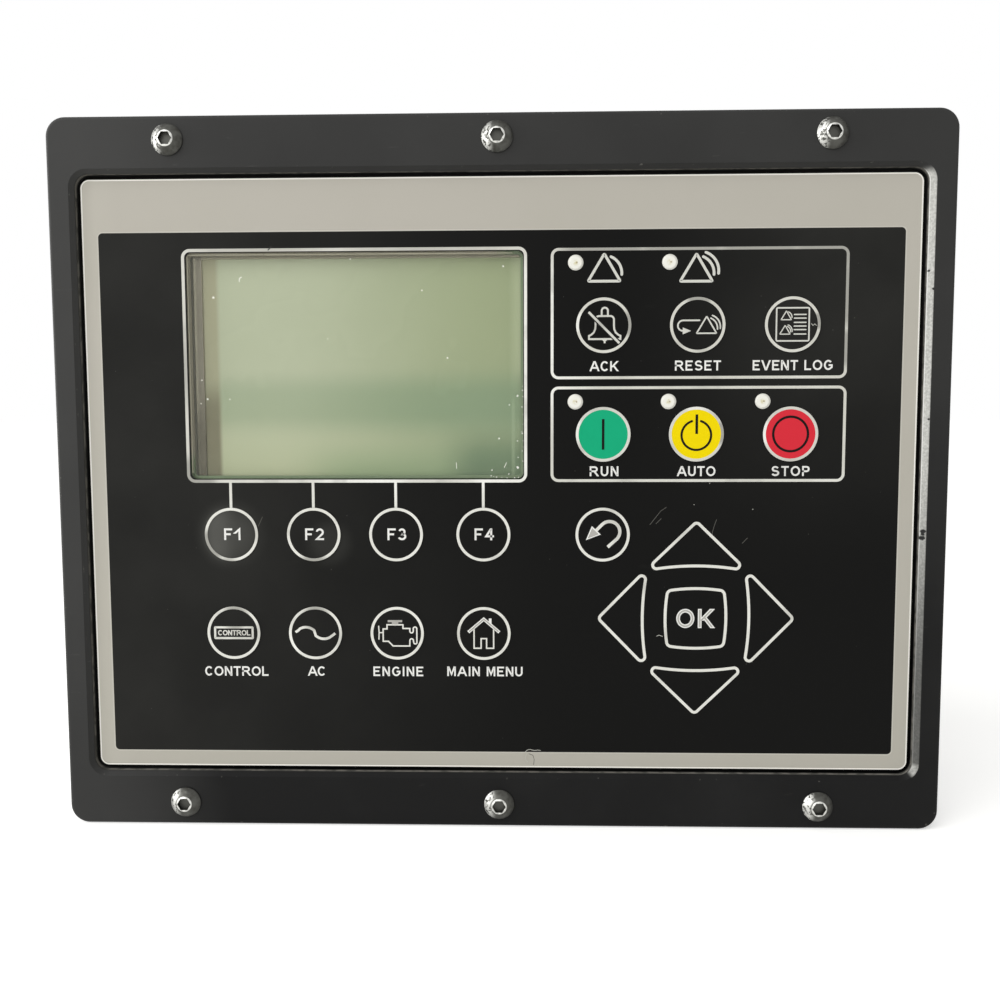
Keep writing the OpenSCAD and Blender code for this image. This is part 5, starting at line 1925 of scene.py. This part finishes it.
@dataclass
class WearAndEdgeHighlight:
    """Specks, scratches and stray hairs on the film and the pane, and a painted highlight along the pane's
    edge.
    """

    panel: Panel
    seed: int = 7
    thick: float = 0.02
    nick_depth: float = 0.06
    hair_depth: float = 0.04
    edge_w: float = 0.26
    nick_w: float = 0.34
    smear_w: float = 0.34
    dash_w: float = 0.22
    hair_w: float = 0.2
    scratch_w: float = 0.18
    # Painted highlight along the pane's left and top edge, where its bevel would catch the light.
    pane_edge: tuple[Point, ...] = ((-105.8, 2.0), (-105.8, 75.8), (-105.3, 76.3), (5.0, 76.3))
    pane_specks: tuple[tuple[float, float, float], ...] = (
        (-97.1, 62.0, 0.7), (-58.1, 47.9, 0.35), (-50.0, 74.6, 0.35), (1.9, 71.9, 0.5),
        (-101.8, 34.0, 0.4), (-100.0, 27.5, 0.5), (-92.3, 27.4, 0.35), (-25.7, 64.0, 0.4),
        (-17.2, 41.2, 0.45), (6.6, 28.2, 0.5), (-102.3, 26.0, 0.35), (3.9, 25.2, 0.35),
        (6.7, 28.4, 0.35), (8.3, 30.2, 0.35), (0.3, 13.8, 0.4), (6.6, 12.9, 0.4), (6.8, 7.3, 0.35),
        (6.6, 3.9, 0.7), (3.6, 1.6, 0.4), (-2.2, 2.9, 0.4), (-2.5, 1.0, 0.35), (8.3, 15.5, 0.35),
        (8.6, 10.9, 0.3), (5.6, 0.2, 0.35), (-88.0, 67.4, 0.3),
    )
    pane_speck_scale: float = 1.5
    edge_specks: tuple[Point, ...] = (
        (8.3, 31.5), (8.5, 28.0), (8.2, 24.5), (8.5, 22.0), (8.4, 18.6), (8.1, 16.0), (8.5, 13.0),
        (8.2, 9.5), (8.4, 6.0), (6.9, 0.4), (3.0, 0.3), (-0.6, 0.5), (-1.6, 0.7), (1.2, 0.4),
    )
    edge_speck_size: Span = (0.25, 0.5)
    nick: tuple[Point, ...] = ((-76.9, 79.0), (-77.2, 78.4), (-77.9, 77.75))
    smear: tuple[Point, ...] = ((-88.1, 67.8), (-87.9, 68.5), (-87.3, 68.8))
    pane_dashes: tuple[tuple[Point, ...], ...] = (
        ((2.82, 5.5), (2.06, 3.79)),
        ((-14.45, 5.53), (-14.33, 3.47)),
    )
    bright_hairs: tuple[tuple[Point, ...], ...] = (
        ((9.64, -96.61), (9.22, -97.76), (9.39, -98.7), (10.02, -99.63)),
        ((105.43, 52.1), (105.95, 51.47), (106.53, 52.0), (107.11, 51.49)),
        ((54.62, -54.61), (55.41, -54.25), (56.59, -54.67)),
        ((9.22, -95.89), (9.82, -95.28), (10.84, -95.06), (12.45, -95.44), (13.46, -95.26), (14.48, -95.39)),
    )
    faint_hairs: tuple[tuple[Point, ...], ...] = (
        ((10.45, -96.71), (11.85, -97.32), (12.27, -98.79), (12.06, -100.66)),
        ((57.54, -9.91), (55.64, -11.18), (54.76, -12.35), (51.99, -15.9)),
        ((55.84, -13.8), (54.11, -15.52)),
        ((74.74, -14.14), (73.99, -16.21), (73.4, -18.38), (73.14, -24.05)),
        ((85.33, -20.48), (83.59, -22.28)),
        ((-59.43, -17.87), (-58.77, -20.38)),
        ((-60.34, -20.04), (-59.5, -21.82)),
        ((-58.19, -20.77), (-59.5, -22.16)),
        ((-58.34, -17.52), (-58.01, -18.33)),
        ((-81.85, -13.24), (-83.35, -16.45)),
    )
    film_specks: tuple[tuple[float, float, float], ...] = (
        (86.9, -10.6, 0.4), (66.97, -8.98, 0.35), (72.11, -1.61, 0.35),
    )
    dust_count: int = 60
    dust_x: Span = (-132, 132)
    dust_z: Span = (-92, 80)
    dust_size: Span = (0.12, 0.3)

    def fleck(self, centre: Point, size: float, chance: random.Random) -> Mark:
        """One small uneven speck of eight corners."""
        turns = range(0, 360, 45)
        return Mark([arc(centre, size / 2 * chance.uniform(0.6, 1.2), a, a, 1)[0] for a in turns])

    def build(self) -> None:
        """Builds the specks and hairs, with their random draws in a fixed order."""
        chance = random.Random(self.seed)
        pane, film = self.panel.pane_front, self.panel.film_front
        specks = [self.fleck((x, z), size * self.pane_speck_scale, chance) for x, z, size in self.pane_specks]
        specks += [self.fleck(at, chance.uniform(*self.edge_speck_size), chance) for at in self.edge_specks]
        specks += [Mark(dash, self.dash_w) for dash in self.pane_dashes] + [Mark(self.smear, self.smear_w)]
        bright = Ink("bright dust", srgb(246, 246, 238), rub=0.2)
        Print("pane_specks", bright, pane, self.thick).build(specks)
        # Painted highlight along the pane's bevelled edge.
        cut = Ink("pane edge highlight", srgb(176, 172, 152), rub=0.3)
        Print("pane_cut_edge", cut, pane, self.thick).build([Mark(self.pane_edge, self.edge_w, Ends.FLAT)])
        bare_and_glare = Ink("bare film", srgb(60, 60, 58))
        nick = Print("frame_nick", bare_and_glare, film - self.nick_depth, self.thick)
        nick.build([Mark(self.nick, self.nick_w)])
        hairs = [Mark(hair, self.hair_w) for hair in self.bright_hairs]
        hairs += [self.fleck((x, z), size, chance) for x, z, size in self.film_specks]
        pale = Ink("pale dust", srgb(196, 196, 188), rub=0.3)
        Print("bright_hairs", pale, self.panel.key_top - self.hair_depth, self.thick).build(hairs)
        faint = [Mark(hair, self.scratch_w) for hair in self.faint_hairs]
        for _ in range(self.dust_count):
            centre = (chance.uniform(*self.dust_x), chance.uniform(*self.dust_z))
            faint.append(self.fleck(centre, chance.uniform(*self.dust_size), chance))
        dim = Ink("dim dust", srgb(96, 95, 90), rub=0.3)
        Print("faint_scratches", dim, film, self.thick).build(faint)


@dataclass
class Studio:
    """Floor, world, lamps and camera."""

    eye: tuple[float, float, float] = (11.83, -385.0, 26.26)
    aim: tuple[float, float, float] = (0.56, -8.4, -7.36)
    roll: float = -0.18
    focal_px: float = 1100.0
    frame_px: float = 1000.0
    sensor: float = 36.0
    clip_start: float = 0.01
    ambient: float = 0.44
    sky: Colour = (1.0, 0.99, 0.97, 1.0)
    floor_size: float = 8.0
    floor_gap: float = 0.0002
    sun: float = 1.5
    sun_angle: float = 50.0
    sun_at: tuple[float, float, float] = (-1.0, -1.2, 1.1)
    window: float = 5.0
    window_size: tuple[float, float] = (0.5, 0.7)
    window_at: tuple[float, float, float] = (-0.9, -0.10, 0.10)

    def camera(self) -> None:
        """Places the camera at the photograph's viewing angle."""
        data = bpy.data.cameras.new("camera")
        data.sensor_width = self.sensor
        data.lens = self.focal_px / self.frame_px * self.sensor
        data.clip_start = self.clip_start
        camera = linked("camera", data)
        towards = Vector(self.aim) - Vector(self.eye)
        roll = Euler((0, 0, math.radians(self.roll))).to_matrix()
        camera.rotation_euler = (towards.to_track_quat("-Z", "Y").to_matrix() @ roll).to_euler()
        camera.location = Vector(self.eye) * MM
        bpy.context.scene.camera = camera

    def world(self) -> None:
        """White for the camera and for reflections, softer as light."""
        world = bpy.data.worlds.new("studio")
        world.use_nodes = True
        bpy.context.scene.world = world
        shader = Shader(world.node_tree)
        white, soft = (
            shader.node("ShaderNodeBackground", {}, {"Color": colour, "Strength": strength})
            for colour, strength in (((1, 1, 1, 1), 1.0), (self.sky, self.ambient))
        )
        shader.node("ShaderNodeOutputWorld", {}, {"Surface": shader.mixed(shader.rays(*SEEN), soft, white)})

    def floor(self) -> None:
        """Pale floor under the lowest edge, which keeps the shadow."""
        mesh = bmesh.new()
        bmesh.ops.create_grid(mesh, x_segments=2, y_segments=2, size=self.floor_size)
        bmesh.ops.translate(mesh, verts=mesh.verts, vec=(0, 0, cad_box[0][2] - self.floor_gap))
        floor = shaped("floor", mesh, Paper("pale floor"))

    def lamp(self, name: str, kind: str, place: Sequence[float], power: float) -> bpy.types.Light:
        """Adds one lamp that points at the object.

        Args:
            name: Name of the lamp.
            kind: Blender's name of its type.
            place: Where it stands, in metres.
            power: Its energy.

        Returns:
            The lamp's data, for its size.
        """
        data = bpy.data.lights.new(name, kind)
        data.energy = power
        lamp = linked(name, data)
        lamp.location = place
        lamp.rotation_euler = (-Vector(place)).to_track_quat("-Z", "Y").to_euler()
        return data

    def lamps(self) -> None:
        """Soft main light from the upper left and a window at the left."""
        self.lamp("main", "SUN", self.sun_at, self.sun).angle = math.radians(self.sun_angle)
        window = self.lamp("window", "AREA", self.window_at, self.window)
        window.shape = "RECTANGLE"
        window.size, window.size_y = self.window_size

    def build(self) -> None:
        """Builds the studio."""
        self.camera()
        self.world()
        self.floor()
        self.lamps()
        bpy.context.scene.view_settings.view_transform = "Standard"


def main() -> None:
    """Builds the studio and every sub-assembly in order."""
    logging.basicConfig(level=logging.INFO, format="%(message)s")
    Studio().build()
    panel = Panel.from_frame()
    FrontFrame(panel).dress()
    keypad = Keypad(panel)
    keypad.dress()
    keypad.build()
    for assembly in (Display(), Lamps(), RearBox(), Connectors(), Electronics()):
        assembly.dress()
    WearAndEdgeHighlight(panel).build()


if __name__ == "__main__":
    main()
